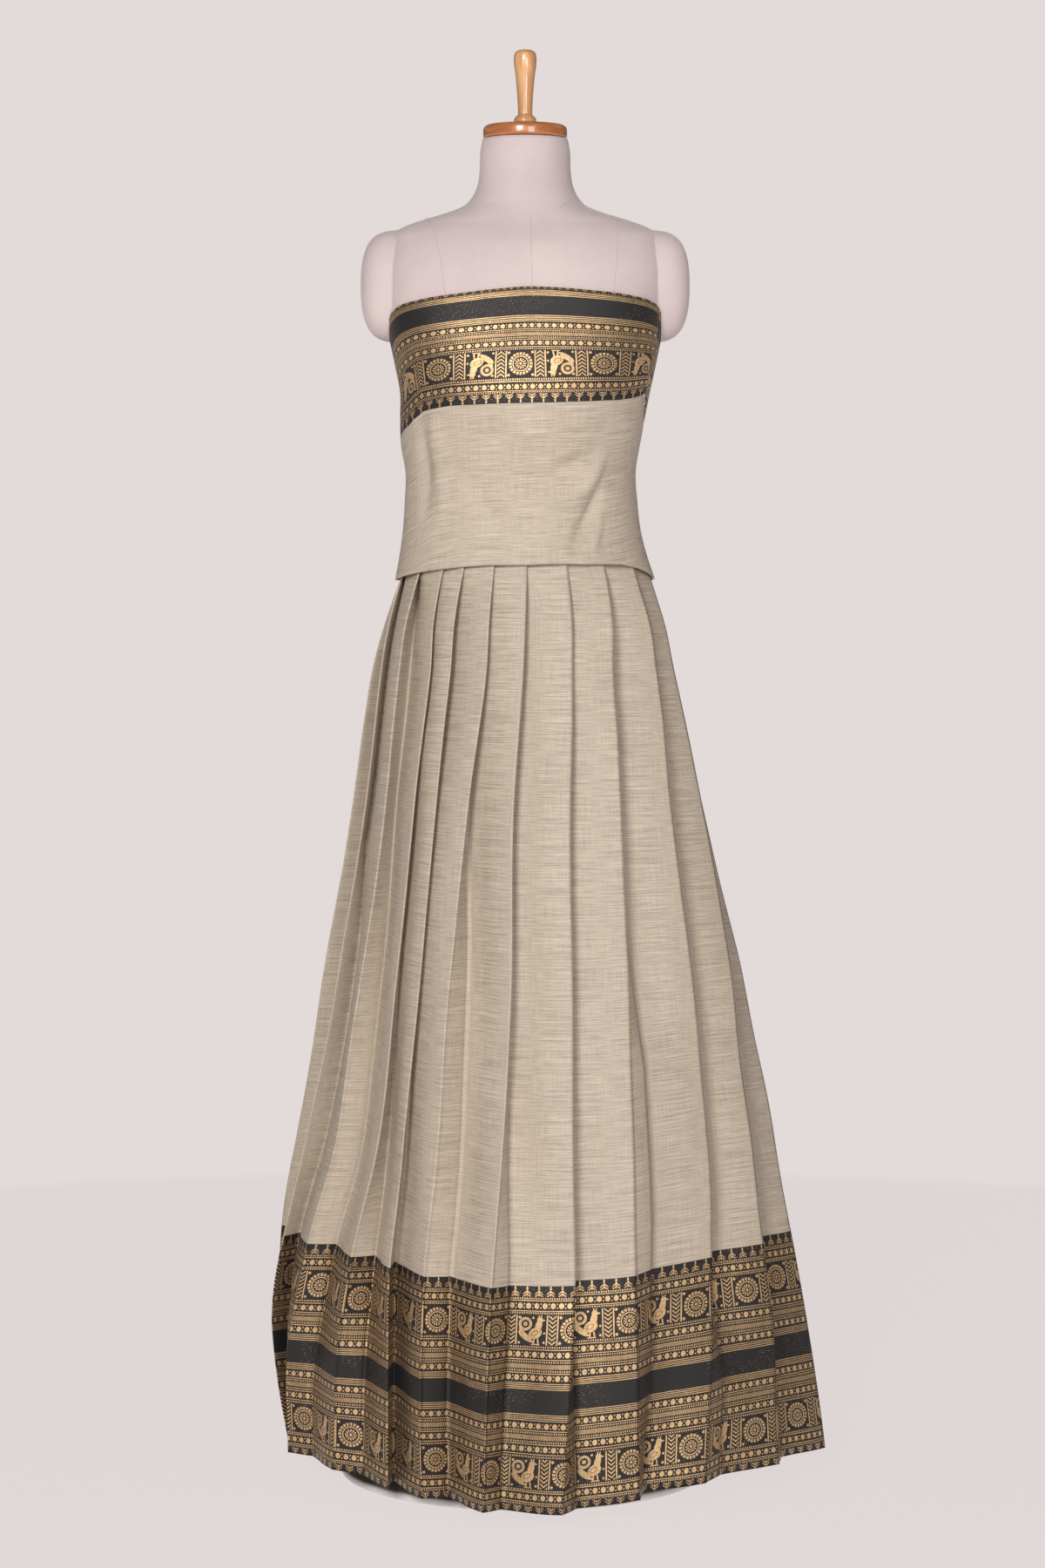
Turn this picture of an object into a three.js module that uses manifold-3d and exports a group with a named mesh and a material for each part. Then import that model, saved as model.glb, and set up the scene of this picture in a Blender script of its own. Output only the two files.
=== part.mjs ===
// Half saree on a limbless dress form.
// A knife-pleated skirt length and a bodice cloth wound once round the form,
// held by a safety pin at the wearer's left side.
// Units are millimetres. +Z is up, the front faces -Y, the wearer's left is +X.
// The origin is on the floor, on the axis of the stand.

import * as THREE from 'three';
import { mergeVertices } from 'three/addons/utils/BufferGeometryUtils.js';
import Module from 'manifold-3d';

const wasm = await Module();
wasm.setup();

// ---------------------------------------------------------------- driving sizes

const SEAM_GAP = 0.3; // clearance between neighbouring pieces
const ARM_SEAM_GAP = 0.66; // measured level, so it is about 0.3 across the sloping shoulder
const CLOTH_WALL = 1.0; // skirt cloth, as a solid wall
const BODICE_WALL = 1.2; // bodice cloth, a doubled layer at its folded edges
const PLEAT_CLOTH = 100; // cloth in one pleat of the back, face and underfold together
const FOLD_STEP = 2.0; // depth of one turned fold, from layer to layer
const FOLD_CLEARANCE = 10; // an underfold ends this far short of the fold edge behind it
const FOLD_BEND = 4; // a face comes out from under the fold behind it over this distance
const FACE_DEPTH = 2.3 * FOLD_STEP; // and lies this deep there

const WAIST_HEIGHT = 1035;
const BORDER_TOP_HEIGHT = 265;
const HEM_HEIGHT = 18;
const SIDE_LIFT = 24; // how much higher the hem hangs at the sides than in front
const FRONT_DROP = 3;
const LIFT_START_HEIGHT = 900; // above this height the cloth hangs level

const TORSO_BOTTOM = 800;
const NECK_TOP = 1527.7;
const DISC_DIAMETER = 95.4;
const DISC_BOTTOM = 1528;
const DISC_TOP = 1543.7;
const BALL_BOTTOM = 1544;
const BALL_DIAMETER = 25.8;
const FINIAL_TOP = 1629;

const BASE_RADIUS = 213;
const BASE_THICKNESS = 9;
const POLE_RADIUS = 14;

// ---------------------------------------------------------------- short tables

// Plan of the skirt at the fold edges, from the hidden top down to the hem.
// left, right, front and back are reaches from the plan centre, centreY is the
// line of greatest width, and the shapes are superellipse exponents.
const SKIRT_SECTIONS = [
  {
    height: 1058, left: 139, right: 133, front: 96.5, back: 88.5,
    centreY: 0, frontShape: 2.1, backShape: 2.1,
  },
  {
    height: 1035, left: 142.5, right: 142, front: 101.5, back: 95,
    centreY: 0, frontShape: 2.1, backShape: 2.1,
  },
  {
    height: 1023, left: 146.6, right: 145.8, front: 106.6, back: 99.6,
    centreY: 0, frontShape: 2.1, backShape: 2.1,
  },
  {
    height: 1010, left: 151, right: 150, front: 112, back: 104.5,
    centreY: 0, frontShape: 2.1, backShape: 2.1,
  },
  {
    height: 975, left: 162, right: 161, front: 125, back: 117,
    centreY: 0, frontShape: 2.1, backShape: 2.1,
  },
  { height: 930, left: 174, right: 171, front: 137, back: 129, centreY: 0, frontShape: 2, backShape: 2.1 },
  {
    height: 870, left: 184, right: 185, front: 154, back: 145,
    centreY: -2, frontShape: 1.95, backShape: 2.1,
  },
  {
    height: 785, left: 196, right: 203, front: 172, back: 165,
    centreY: -8, frontShape: 1.9, backShape: 2.1,
  },
  {
    height: 685, left: 211, right: 224, front: 190, back: 188,
    centreY: -18, frontShape: 1.8, backShape: 2.1,
  },
  {
    height: 585, left: 228, right: 245, front: 205, back: 212,
    centreY: -28, frontShape: 1.7, backShape: 2.1,
  },
  {
    height: 485, left: 244, right: 263, front: 218, back: 236,
    centreY: -40, frontShape: 1.6, backShape: 2.15,
  },
  {
    height: 375, left: 262, right: 285, front: 228, back: 264,
    centreY: -53, frontShape: 1.5, backShape: 2.2,
  },
  {
    height: 265, left: 282, right: 305, front: 232, back: 296,
    centreY: -66, frontShape: 1.42, backShape: 2.2,
  },
  {
    height: 140, left: 288, right: 326, front: 230, back: 330,
    centreY: -74, frontShape: 1.36, backShape: 2.2,
  },
  {
    height: 18, left: 274, right: 339, front: 225, back: 362,
    centreY: -80, frontShape: 1.32, backShape: 2.2,
  },
];

// Fold edges of the knife pleats that show from in front, anticlockwise from
// above. Each angle is measured round the plan from the centre front towards the
// wearer's left, at the waist, at mid thigh, at the top of the border and at the
// hem. cloth is the width of cloth in the pleat.
const FRONT_PLEATS = [
  { name: 'right_side', waist: -81.5, thigh: -70, border: -84.5, hem: -97.5, cloth: 100 },
  { name: 'right_front_outer', waist: -63.8, thigh: -57, border: -74.5, hem: -87, cloth: 100 },
  { name: 'right_front', waist: -50, thigh: -43, border: -58.2, hem: -67.8, cloth: 96 },
  { name: 'right_front_small', waist: -37.8, thigh: -34, border: -42.8, hem: -46.8, cloth: 86 },
  { name: 'right_front_inner', waist: -19.2, thigh: -20, border: -30.5, hem: -33, cloth: 98 },
  { name: 'centre_front', waist: 1, thigh: -4, border: -9, hem: -12, cloth: 100 },
  { name: 'left_front_inner', waist: 25.8, thigh: 16.8, border: 14.2, hem: 10.8, cloth: 100 },
  { name: 'left_front', waist: 47.8, thigh: 36.2, border: 33.2, hem: 35.5, cloth: 100 },
  { name: 'left_front_outer', waist: 67, thigh: 58.8, border: 58.5, hem: 56.5, cloth: 102 },
  { name: 'left_side', waist: 87, thigh: 81, border: 75.5, hem: 76.8, cloth: 100 },
];
const BACK_PLEATS = 12; // spread between the left side and the right side
const BACK_PLEAT_DRIFT = 0.08; // their unevenness, as a share of one space
const THIGH_HEIGHT = 785;

// Outer face of the bodice cloth, from the top edge down.
const BODICE_SECTIONS = [
  { height: 1356, left: 161.5, right: 161.5, front: 98.6, back: 89.9, shape: 2.9 },
  { height: 1310, left: 158, right: 158, front: 106.5, back: 93, shape: 2.75 },
  { height: 1270, left: 150, right: 150.5, front: 115, back: 93.4, shape: 2.45 },
  { height: 1240, left: 144.5, right: 144, front: 118, back: 90.5, shape: 2.3 },
  { height: 1210, left: 144.5, right: 138, front: 116, back: 88.5, shape: 2.25 },
  { height: 1180, left: 143.5, right: 131, front: 109.5, back: 86.5, shape: 2.2 },
  { height: 1150, left: 138.5, right: 126.5, front: 102.5, back: 85, shape: 2.15 },
  { height: 1115, left: 139.5, right: 128.5, front: 99, back: 85, shape: 2.1 },
  { height: 1080, left: 142, right: 133, front: 98.5, back: 88.5, shape: 2.1 },
  { height: 1052, left: 146, right: 140.5, front: 104, back: 97, shape: 2.1 },
  { height: 1022, left: 151.5, right: 151, front: 111.5, back: 106, shape: 2.1 },
];

// Top and bottom edges of the bodice cloth round the form. The top edge dips
// under the arm pads.
const BODICE_EDGES = [
  { angle: 0, top: 1355, bottom: 1041 },
  { angle: 35, top: 1350.5, bottom: 1040 },
  { angle: 54, top: 1345.5, bottom: 1036 },
  { angle: 66, top: 1339, bottom: 1033 },
  { angle: 76, top: 1327, bottom: 1030 },
  { angle: 86, top: 1312, bottom: 1027 },
  { angle: 95, top: 1296, bottom: 1027 },
  { angle: 105, top: 1288, bottom: 1027 },
  { angle: 125, top: 1297, bottom: 1032 },
  { angle: 180, top: 1316, bottom: 1038 },
];
const BODICE_ROWS = 12;
const BODICE_COLUMNS = 68;
const WRAP_START = 50; // angle of the inner end, under the front layer
const WRAP_END = 434; // angle of the free outer end, one turn and the overlap later
const WRAP_END_SLANT = 10; // the free end runs further back at the lower edge
const OVERLAP_RAMP = 55; // degrees over which the front layer rises over the inner end
const LAYER_GAP = 0.5;

// Soft folds that the pin pulls across the front: each runs from (angle, height)
// to (angle, height), and is a trough of the given depth and half width.
const BODICE_FOLDS = [
  { fromAngle: 56, fromHeight: 1196, toAngle: 18, toHeight: 1158, depth: 3, halfWidth: 16 },
  { fromAngle: 62, fromHeight: 1186, toAngle: 33, toHeight: 1075, depth: 3, halfWidth: 15 },
  { fromAngle: -62, fromHeight: 1222, toAngle: -66, toHeight: 1090, depth: 2.5, halfWidth: 15 },
];

// Padded body, from the flat underside up to the neck.
const TORSO_SECTIONS = [
  { height: 800, half: 130, front: 86, back: 88, shape: 2.1 },
  { height: 812, half: 135, front: 90, back: 93, shape: 2.1 },
  { height: 880, half: 137, front: 92, back: 94, shape: 2.1 },
  { height: 940, half: 132, front: 89, back: 86, shape: 2.1 },
  { height: 985, half: 127, front: 85, back: 79, shape: 2.1 },
  { height: 1020, half: 126.5, front: 84.5, back: 78, shape: 2.1 },
  { height: 1058, half: 120.85, front: 84.85, back: 76.85, shape: 2.1 },
  { height: 1090, half: 119.85, front: 85.85, back: 78.35, shape: 2.1 },
  { height: 1130, half: 119.85, front: 91.85, back: 79.35, shape: 2.1 },
  { height: 1165, half: 122.85, front: 99.85, back: 80.85, shape: 2.15 },
  { height: 1205, half: 132.35, front: 108.85, back: 84.35, shape: 2.2 },
  { height: 1240, half: 140.15, front: 113.35, back: 87.35, shape: 2.25 },
  { height: 1275, half: 146.6, front: 110.35, back: 89.35, shape: 2.42 },
  { height: 1315, half: 153.9, front: 101.35, back: 88.85, shape: 2.72 },
  { height: 1355, half: 157.4, front: 94.35, back: 86.05, shape: 2.85 },
  { height: 1385, half: 157.5, front: 88, back: 82, shape: 2.8 },
  { height: 1408, half: 155, front: 79, back: 76, shape: 2.45 },
  { height: 1421, half: 150, front: 70, back: 69, shape: 2.2 },
  { height: 1429, half: 137, front: 64.5, back: 63.5, shape: 2 },
  { height: 1436, half: 117, front: 60.5, back: 59.5, shape: 2 },
  { height: 1443, half: 93, front: 57.5, back: 56.5, shape: 2 },
  { height: 1451, half: 72, front: 55, back: 54, shape: 2 },
  { height: 1460, half: 62, front: 53.5, back: 52, shape: 2 },
  { height: 1472, half: 55.5, front: 52, back: 50.5, shape: 2 },
  { height: 1490, half: 52, front: 50.5, back: 49.5, shape: 2 },
  { height: 1515, half: 51, front: 49.5, back: 49, shape: 2 },
  { height: NECK_TOP, half: 48.5, front: 47.5, back: 47, shape: 2 },
];
const TORSO_SIDES = 44;

const ARM_CAP = {
  innerX: 118, // inside the body, where the pad is cut back to the body's face
  outerX: 187.5,
  centreHeight: 1361,
  halfHeight: 64,
  halfDepth: 47,
  shape: 2.5,
  rings: 9,
  sides: 26,
};

// Room in the arm pads for the top edge of the bodice cloth.
const TUCK = {
  bottom: 1275,
  room: 0.8,
  rows: 3,
  sides: 60,
};

// ---------------------------------------------------------------- helpers

const radians = THREE.MathUtils.degToRad;

function smoothStep(value, low, high) {
  const share = Math.min(1, Math.max(0, (value - low) / (high - low)));
  return share * share * (3 - 2 * share);
}

// Value of one column at a given key, between the rows of a table.
function interpolate(table, keyName, key, columnName) {
  const rising = table[table.length - 1][keyName] > table[0][keyName];
  const rows = rising ? table : [...table].reverse();
  if (key <= rows[0][keyName]) return rows[0][columnName];
  for (let index = 1; index < rows.length; index += 1) {
    const low = rows[index - 1];
    const high = rows[index];
    if (key <= high[keyName]) {
      const share = (key - low[keyName]) / (high[keyName] - low[keyName]);
      return low[columnName] + share * (high[columnName] - low[columnName]);
    }
  }
  return rows[rows.length - 1][columnName];
}

// Distance from the plan centre to a superellipse, in the direction of an angle
// that starts at the front (-Y) and turns towards +X.
function planPoint(angle, section) {
  const sideways = Math.sin(radians(angle));
  const forwards = Math.cos(radians(angle));
  const halfWidth = sideways > 0 ? section.right : section.left;
  const halfDepth = forwards > 0 ? section.front : section.back;
  const shape = forwards > 0 ? section.frontShape : section.backShape;
  const across = Math.abs(sideways / halfWidth) ** shape;
  const along = Math.abs(forwards / halfDepth) ** shape;
  const reach = (across + along) ** (-1 / shape);
  return new THREE.Vector2(reach * sideways, section.centreY - reach * forwards);
}

function geometryFrom(points, triangles) {
  const geometry = new THREE.BufferGeometry();
  const positions = new Float32Array(points.length * 3);
  points.forEach((point, index) => point.toArray(positions, index * 3));
  geometry.setAttribute('position', new THREE.BufferAttribute(positions, 3));
  geometry.setIndex(triangles);
  geometry.computeVertexNormals();
  return geometry;
}

// Band of triangles between two rows of point numbers. closed joins the ends.
// Seen from the side that faces out, `upper` lies above and both run to the right.
// turned makes the band face the other way, with its triangles cut the same way.
function stitch(triangles, lower, upper, closed, turned = false) {
  const steps = closed ? lower.length : lower.length - 1;
  for (let index = 0; index < steps; index += 1) {
    const next = (index + 1) % lower.length;
    const first = [lower[index], lower[next], upper[next]];
    const second = [lower[index], upper[next], upper[index]];
    if (turned) {
      first.reverse();
      second.reverse();
    }
    triangles.push(...first, ...second);
  }
}

// Solid loft through closed rings, anticlockwise from above and listed upwards,
// with a flat cap at each end.
function loftSolid(rings) {
  const points = rings.flat();
  const triangles = [];
  const count = rings[0].length;
  const ringNumbers = rings.map((ring, row) => ring.map((point, column) => row * count + column));
  for (let row = 1; row < rings.length; row += 1) {
    stitch(triangles, ringNumbers[row - 1], ringNumbers[row], true);
  }
  const centreOf = (ring) => (
    ring.reduce((sum, point) => sum.add(point), new THREE.Vector3()).divideScalar(count)
  );
  const bottomCentre = points.push(centreOf(rings[0])) - 1;
  const topCentre = points.push(centreOf(rings[rings.length - 1])) - 1;
  const bottom = ringNumbers[0];
  const top = ringNumbers[rings.length - 1];
  for (let index = 0; index < count; index += 1) {
    const next = (index + 1) % count;
    triangles.push(bottomCentre, bottom[next], bottom[index]);
    triangles.push(topCentre, top[index], top[next]);
  }
  return geometryFrom(points, triangles);
}

// Closed wall between an outer and an inner grid of points. Rows are listed
// upwards and run anticlockwise. closed makes a tube, otherwise a strip whose
// two ends are closed too.
function wallSolid(outerRows, innerRows, closed) {
  const points = [...outerRows.flat(), ...innerRows.flat()];
  const triangles = [];
  const count = outerRows[0].length;
  const innerStart = outerRows.length * count;
  const outer = outerRows.map((row, r) => row.map((point, c) => r * count + c));
  const inner = innerRows.map((row, r) => row.map((point, c) => innerStart + r * count + c));
  for (let row = 1; row < outer.length; row += 1) {
    stitch(triangles, outer[row - 1], outer[row], closed);
    stitch(triangles, inner[row - 1], inner[row], closed, true);
  }
  stitch(triangles, inner[0], outer[0], closed);
  stitch(triangles, outer[outer.length - 1], inner[inner.length - 1], closed);
  if (!closed) {
    const column = (grid, index) => grid.map((row) => row[index]);
    stitch(triangles, column(outer, 0), column(inner, 0), false);
    stitch(triangles, column(inner, count - 1), column(outer, count - 1), false);
  }
  return geometryFrom(points, triangles);
}

function toManifold(geometry) {
  const bare = geometry.clone();
  for (const name of Object.keys(bare.attributes)) {
    if (name !== 'position') bare.deleteAttribute(name);
  }
  const merged = mergeVertices(bare);
  const mesh = new wasm.Mesh({
    numProp: 3,
    vertProperties: merged.attributes.position.array,
    triVerts: new Uint32Array(merged.index.array),
  });
  return new wasm.Manifold(mesh);
}

function fromManifold(solid) {
  const mesh = solid.getMesh();
  const geometry = new THREE.BufferGeometry();
  geometry.setAttribute('position', new THREE.BufferAttribute(new Float32Array(mesh.vertProperties), 3));
  geometry.setIndex([...mesh.triVerts]);
  geometry.computeVertexNormals();
  return geometry;
}

// ---------------------------------------------------------------- skirt

function skirtSection(height) {
  const columns = ['left', 'right', 'front', 'back', 'centreY', 'frontShape', 'backShape'];
  const section = {};
  for (const column of columns) {
    section[column] = interpolate(SKIRT_SECTIONS, 'height', height, column);
  }
  return section;
}

// Angle of a fold edge at any height, from its four stated angles.
function foldAngle(pleat, height) {
  const stations = [
    { height: WAIST_HEIGHT, angle: pleat.waist },
    { height: THIGH_HEIGHT, angle: pleat.thigh },
    { height: BORDER_TOP_HEIGHT, angle: pleat.border },
    { height: HEM_HEIGHT, angle: pleat.hem },
  ];
  return interpolate(stations, 'height', height, 'angle');
}

function hemLift(angle, height) {
  const share = 1 - smoothStep(height, BORDER_TOP_HEIGHT, LIFT_START_HEIGHT);
  return share * (SIDE_LIFT * Math.sin(radians(angle)) ** 2 - FRONT_DROP);
}

// The front pleats, and the back ones spread evenly between the last and the
// first of them.
function allPleats() {
  const pleats = [...FRONT_PLEATS];
  const first = FRONT_PLEATS[0];
  const last = FRONT_PLEATS[FRONT_PLEATS.length - 1];
  for (let index = 1; index <= BACK_PLEATS; index += 1) {
    const share = (index + BACK_PLEAT_DRIFT * Math.sin(index * 2.4)) / (BACK_PLEATS + 1);
    const pleat = { name: `back_${index}`, cloth: PLEAT_CLOTH };
    for (const station of ['waist', 'thigh', 'border', 'hem']) {
      pleat[station] = last[station] + (first[station] + 360 - last[station]) * share;
    }
    pleats.push(pleat);
  }
  return pleats;
}

const PLEATS = allPleats();

// One pleat at one height, in a frame along the straight line from the fold edge
// behind it to its own. reach is how far along that line its valley lies, less
// than nothing where it is tucked behind the fold, and openDepth is how deep.
// The cloth stays the same length at all heights, so that a pleat lies flat at
// the waist and opens downwards.
function pleatShape(index, height) {
  const section = skirtSection(height);
  const waistSection = skirtSection(WAIST_HEIGHT);
  const pleat = PLEATS[index];
  const before = PLEATS[(index + PLEATS.length - 1) % PLEATS.length];
  const turn = index === 0 ? 360 : 0;
  const startAngle = foldAngle(before, height) - turn;
  const endAngle = foldAngle(pleat, height);
  const start = planPoint(startAngle, section);
  const end = planPoint(endAngle, section);
  const pitch = start.distanceTo(end);
  const along = end.clone().sub(start).divideScalar(pitch);
  const inward = new THREE.Vector2(-along.y, along.x);
  const flatPitch = planPoint(before.waist, waistSection).distanceTo(planPoint(pleat.waist, waistSection));
  const cloth = Math.max(pleat.cloth, pitch + 3);
  const face = (cloth + flatPitch) / 2;
  const underfold = (cloth - flatPitch) / 2;
  const reach = Math.max(-underfold, (pitch ** 2 + underfold ** 2 - face ** 2) / (2 * pitch));
  const openDepth = Math.sqrt(Math.max(0, underfold ** 2 - reach ** 2)) - 2;
  const flatSlope = FACE_DEPTH / (pitch - FOLD_BEND);
  const openSlope = (openDepth + 2 * FOLD_STEP) / (pitch - reach);
  const slope = Math.max(flatSlope, openSlope);
  return { start, end, pitch, along, inward, startAngle, endAngle, underfold, reach, openDepth, slope };
}

// Mid surface of the pleated cloth at one height, six points to a pleat: the
// turned edge under the fold, the two sides of the valley fold, two on the face
// and the fold edge itself.
function pleatedRing(height) {
  const shapes = PLEATS.map((pleat, index) => pleatShape(index, height));
  const ring = [];
  shapes.forEach((shape, index) => {
    const behind = shapes[(index + shapes.length - 1) % shapes.length];
    const pitch = shape.pitch;
    const reach = Math.max(shape.reach, -(behind.pitch - FOLD_CLEARANCE));

    // A fold that lies flat follows the slope of the face that covers it.
    const tuckDepth = Math.max(0, -reach) * behind.slope;
    const depth = FOLD_STEP + Math.max(tuckDepth, shape.openDepth);
    const flatness = smoothStep(-shape.reach / shape.underfold, 0.2, 0.8);
    const along = shape.along.clone().lerp(behind.along, flatness).normalize();
    const inward = new THREE.Vector2(-along.y, along.x);
    const valley = (inset) => (
      shape.start.clone().addScaledVector(along, reach).addScaledVector(inward, inset)
    );
    const onFace = (distance, inset) => (
      shape.start.clone().addScaledVector(shape.along, distance).addScaledVector(shape.inward, inset)
    );

    const valleyDepth = depth + FOLD_STEP;
    const bendDistance = Math.max(FOLD_BEND, reach + 0.34 * (pitch - reach));
    const straightDepth = valleyDepth * (pitch - bendDistance) / (pitch - reach);
    const bendDepth = Math.max(FACE_DEPTH, straightDepth);
    const middle = (bendDistance + pitch) / 2;
    const bulge = Math.min(1.5, 0.06 * valleyDepth);
    const outline = [
      { distance: 0, place: onFace(0, FOLD_STEP) },
      { distance: reach, place: valley(depth) },
      { distance: reach, place: valley(valleyDepth) },
      { distance: bendDistance, place: onFace(bendDistance, bendDepth) },
      { distance: middle, place: onFace(middle, bendDepth / 2 - bulge) },
      { distance: pitch, place: shape.end },
    ];
    for (const { distance, place } of outline) {
      const angle = shape.startAngle + (shape.endAngle - shape.startAngle) * distance / pitch;
      ring.push(new THREE.Vector3(place.x, place.y, height + hemLift(angle, height)));
    }
  });
  return ring;
}

// Ring moved sideways by a distance in plan, to the outside of its own line.
function offsetRing(ring, distance) {
  const count = ring.length;
  return ring.map((point, index) => {
    const before = ring[(index + count - 1) % count];
    const after = ring[(index + 1) % count];
    const incoming = new THREE.Vector2(point.x - before.x, point.y - before.y).normalize();
    const outgoing = new THREE.Vector2(after.x - point.x, after.y - point.y).normalize();
    const normal = new THREE.Vector2(incoming.y + outgoing.y, -incoming.x - outgoing.x).normalize();
    const spread = Math.max(0.6, normal.x * outgoing.y - normal.y * outgoing.x);
    return new THREE.Vector3(
      point.x + normal.x * distance / spread,
      point.y + normal.y * distance / spread,
      point.z,
    );
  });
}

function skirtGeometry() {
  const heights = SKIRT_SECTIONS.map((section) => section.height).reverse();
  const middle = heights.map((height) => pleatedRing(height));
  const outer = middle.map((ring) => offsetRing(ring, CLOTH_WALL / 2));
  const inner = middle.map((ring) => offsetRing(ring, -CLOTH_WALL / 2));
  return wallSolid(outer, inner, true);
}

// ---------------------------------------------------------------- bodice cloth

function sideAngle(angle) {
  const turned = ((angle % 360) + 360) % 360;
  return turned > 180 ? 360 - turned : turned;
}

function bodiceSection(height) {
  const section = { centreY: 0 };
  for (const column of ['left', 'right', 'front', 'back', 'shape']) {
    section[column] = interpolate(BODICE_SECTIONS, 'height', height, column);
  }
  section.frontShape = section.shape;
  section.backShape = section.shape;
  return section;
}

// Depth of the soft folds at a place on the cloth, near the front.
function bodiceFoldDepth(angle, height) {
  const signed = ((angle + 180) % 360 + 360) % 360 - 180;
  const armLength = 130; // turns degrees round the body into distances
  let total = 0;
  for (const fold of BODICE_FOLDS) {
    const start = new THREE.Vector2(radians(fold.fromAngle) * armLength, fold.fromHeight);
    const end = new THREE.Vector2(radians(fold.toAngle) * armLength, fold.toHeight);
    const place = new THREE.Vector2(radians(signed) * armLength, height);
    const run = end.clone().sub(start);
    const share = Math.min(1, Math.max(0, place.clone().sub(start).dot(run) / run.lengthSq()));
    const distance = place.distanceTo(start.addScaledVector(run, share));
    const fade = Math.sin(Math.PI * (0.15 + 0.7 * share));
    total += fold.depth * fade * Math.exp(-((distance / fold.halfWidth) ** 2));
  }
  return total;
}

function bodicePoint(angle, height, inset) {
  const section = bodiceSection(height);
  for (const column of ['left', 'right', 'front', 'back']) {
    section[column] -= inset;
  }
  const point = planPoint(angle, section);
  return new THREE.Vector3(point.x, point.y, height);
}

// The inner end lies one layer deeper than the free end that covers it.
function wrapInset(angle) {
  const lap = WRAP_START + 360 - OVERLAP_RAMP;
  return (1 - smoothStep(angle, lap, WRAP_START + 355)) * (BODICE_WALL + LAYER_GAP);
}

function bodiceGeometry() {
  const outer = [];
  const inner = [];
  for (let row = 0; row <= BODICE_ROWS; row += 1) {
    const share = row / BODICE_ROWS;
    const outerRow = [];
    const innerRow = [];
    for (let column = 0; column <= BODICE_COLUMNS; column += 1) {
      const run = column / BODICE_COLUMNS;
      const end = WRAP_END + WRAP_END_SLANT * (1 - share);
      const angle = WRAP_START + (end - WRAP_START) * run;
      const side = sideAngle(angle);
      const top = interpolate(BODICE_EDGES, 'angle', side, 'top');
      const bottom = interpolate(BODICE_EDGES, 'angle', side, 'bottom');
      const height = bottom + (top - bottom) * share;
      const isFrontLayer = angle > WRAP_START + 200;
      const trough = isFrontLayer ? bodiceFoldDepth(angle, height) * (1 - smoothStep(angle, 395, 405)) : 0;
      const inset = wrapInset(angle) + trough;
      outerRow.push(bodicePoint(angle, height, inset));
      innerRow.push(bodicePoint(angle, height, inset + BODICE_WALL));
    }
    outer.push(outerRow);
    inner.push(innerRow);
  }
  return wallSolid(outer, inner, false);
}

// ---------------------------------------------------------------- form and stand

function torsoGeometry(grown) {
  const rings = TORSO_SECTIONS.map((row) => {
    const section = {
      left: row.half + grown,
      right: row.half + grown,
      front: row.front + grown,
      back: row.back + grown,
      centreY: 0,
      frontShape: row.shape,
      backShape: row.shape,
    };
    const ring = [];
    for (let index = 0; index < TORSO_SIDES; index += 1) {
      const point = planPoint(index * 360 / TORSO_SIDES, section);
      ring.push(new THREE.Vector3(point.x, point.y, row.height));
    }
    return ring;
  });
  return loftSolid(rings);
}

// Solid inside the bodice cloth near its top edge, grown by the room left round it.
function underBodiceSolid() {
  const rings = [];
  for (let row = 0; row <= TUCK.rows; row += 1) {
    const ring = [];
    for (let index = 0; index < TUCK.sides; index += 1) {
      const angle = index * 360 / TUCK.sides;
      const top = interpolate(BODICE_EDGES, 'angle', sideAngle(angle), 'top') + TUCK.room;
      const height = TUCK.bottom + (top - TUCK.bottom) * row / TUCK.rows;
      ring.push(bodicePoint(angle, height, -TUCK.room));
    }
    rings.push(ring);
  }
  return loftSolid(rings);
}

// Rounded pad that closes an armhole, cut back to the face of the body and to
// the cloth that is tucked in beside it.
function armCapGeometry(side) {
  const rings = [];
  const length = ARM_CAP.outerX - ARM_CAP.innerX;
  for (let row = 0; row < ARM_CAP.rings; row += 1) {
    const share = Math.sin((row / (ARM_CAP.rings - 1)) * Math.PI / 2);
    const scale = Math.max(0.12, (1 - share ** (2 * ARM_CAP.shape)) ** (1 / ARM_CAP.shape));
    const ring = [];
    for (let index = 0; index < ARM_CAP.sides; index += 1) {
      const turn = index * 2 * Math.PI / ARM_CAP.sides;
      const power = 2 / 2.3;
      const depth = Math.sign(Math.cos(turn)) * Math.abs(Math.cos(turn)) ** power;
      const rise = Math.sign(Math.sin(turn)) * Math.abs(Math.sin(turn)) ** power;
      ring.push(new THREE.Vector3(
        side * (ARM_CAP.innerX + share * length),
        side * ARM_CAP.halfDepth * scale * depth,
        ARM_CAP.centreHeight + ARM_CAP.halfHeight * scale * rise,
      ));
    }
    rings.push(ring);
  }
  const pad = toManifold(loftSolid(rings));
  const body = toManifold(torsoGeometry(ARM_SEAM_GAP));
  const tuck = toManifold(underBodiceSolid());
  return fromManifold(pad.subtract(body).subtract(tuck));
}

function lathe(profile, segments) {
  const points = profile.map(([radius, height]) => new THREE.Vector2(radius, height));
  const geometry = new THREE.LatheGeometry(points, segments);
  geometry.rotateX(Math.PI / 2);
  return geometry;
}

function neckCapGeometry() {
  const radius = DISC_DIAMETER / 2;
  const rounding = 4.5;
  return lathe([
    [0, DISC_BOTTOM],
    [radius - 2, DISC_BOTTOM],
    [radius, DISC_BOTTOM + 2.5],
    [radius, DISC_TOP - rounding],
    [radius - 1.3, DISC_TOP - 1.6],
    [radius - rounding, DISC_TOP - 0.3],
    [radius - 12, DISC_TOP],
    [0, DISC_TOP],
  ], 40);
}

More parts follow.
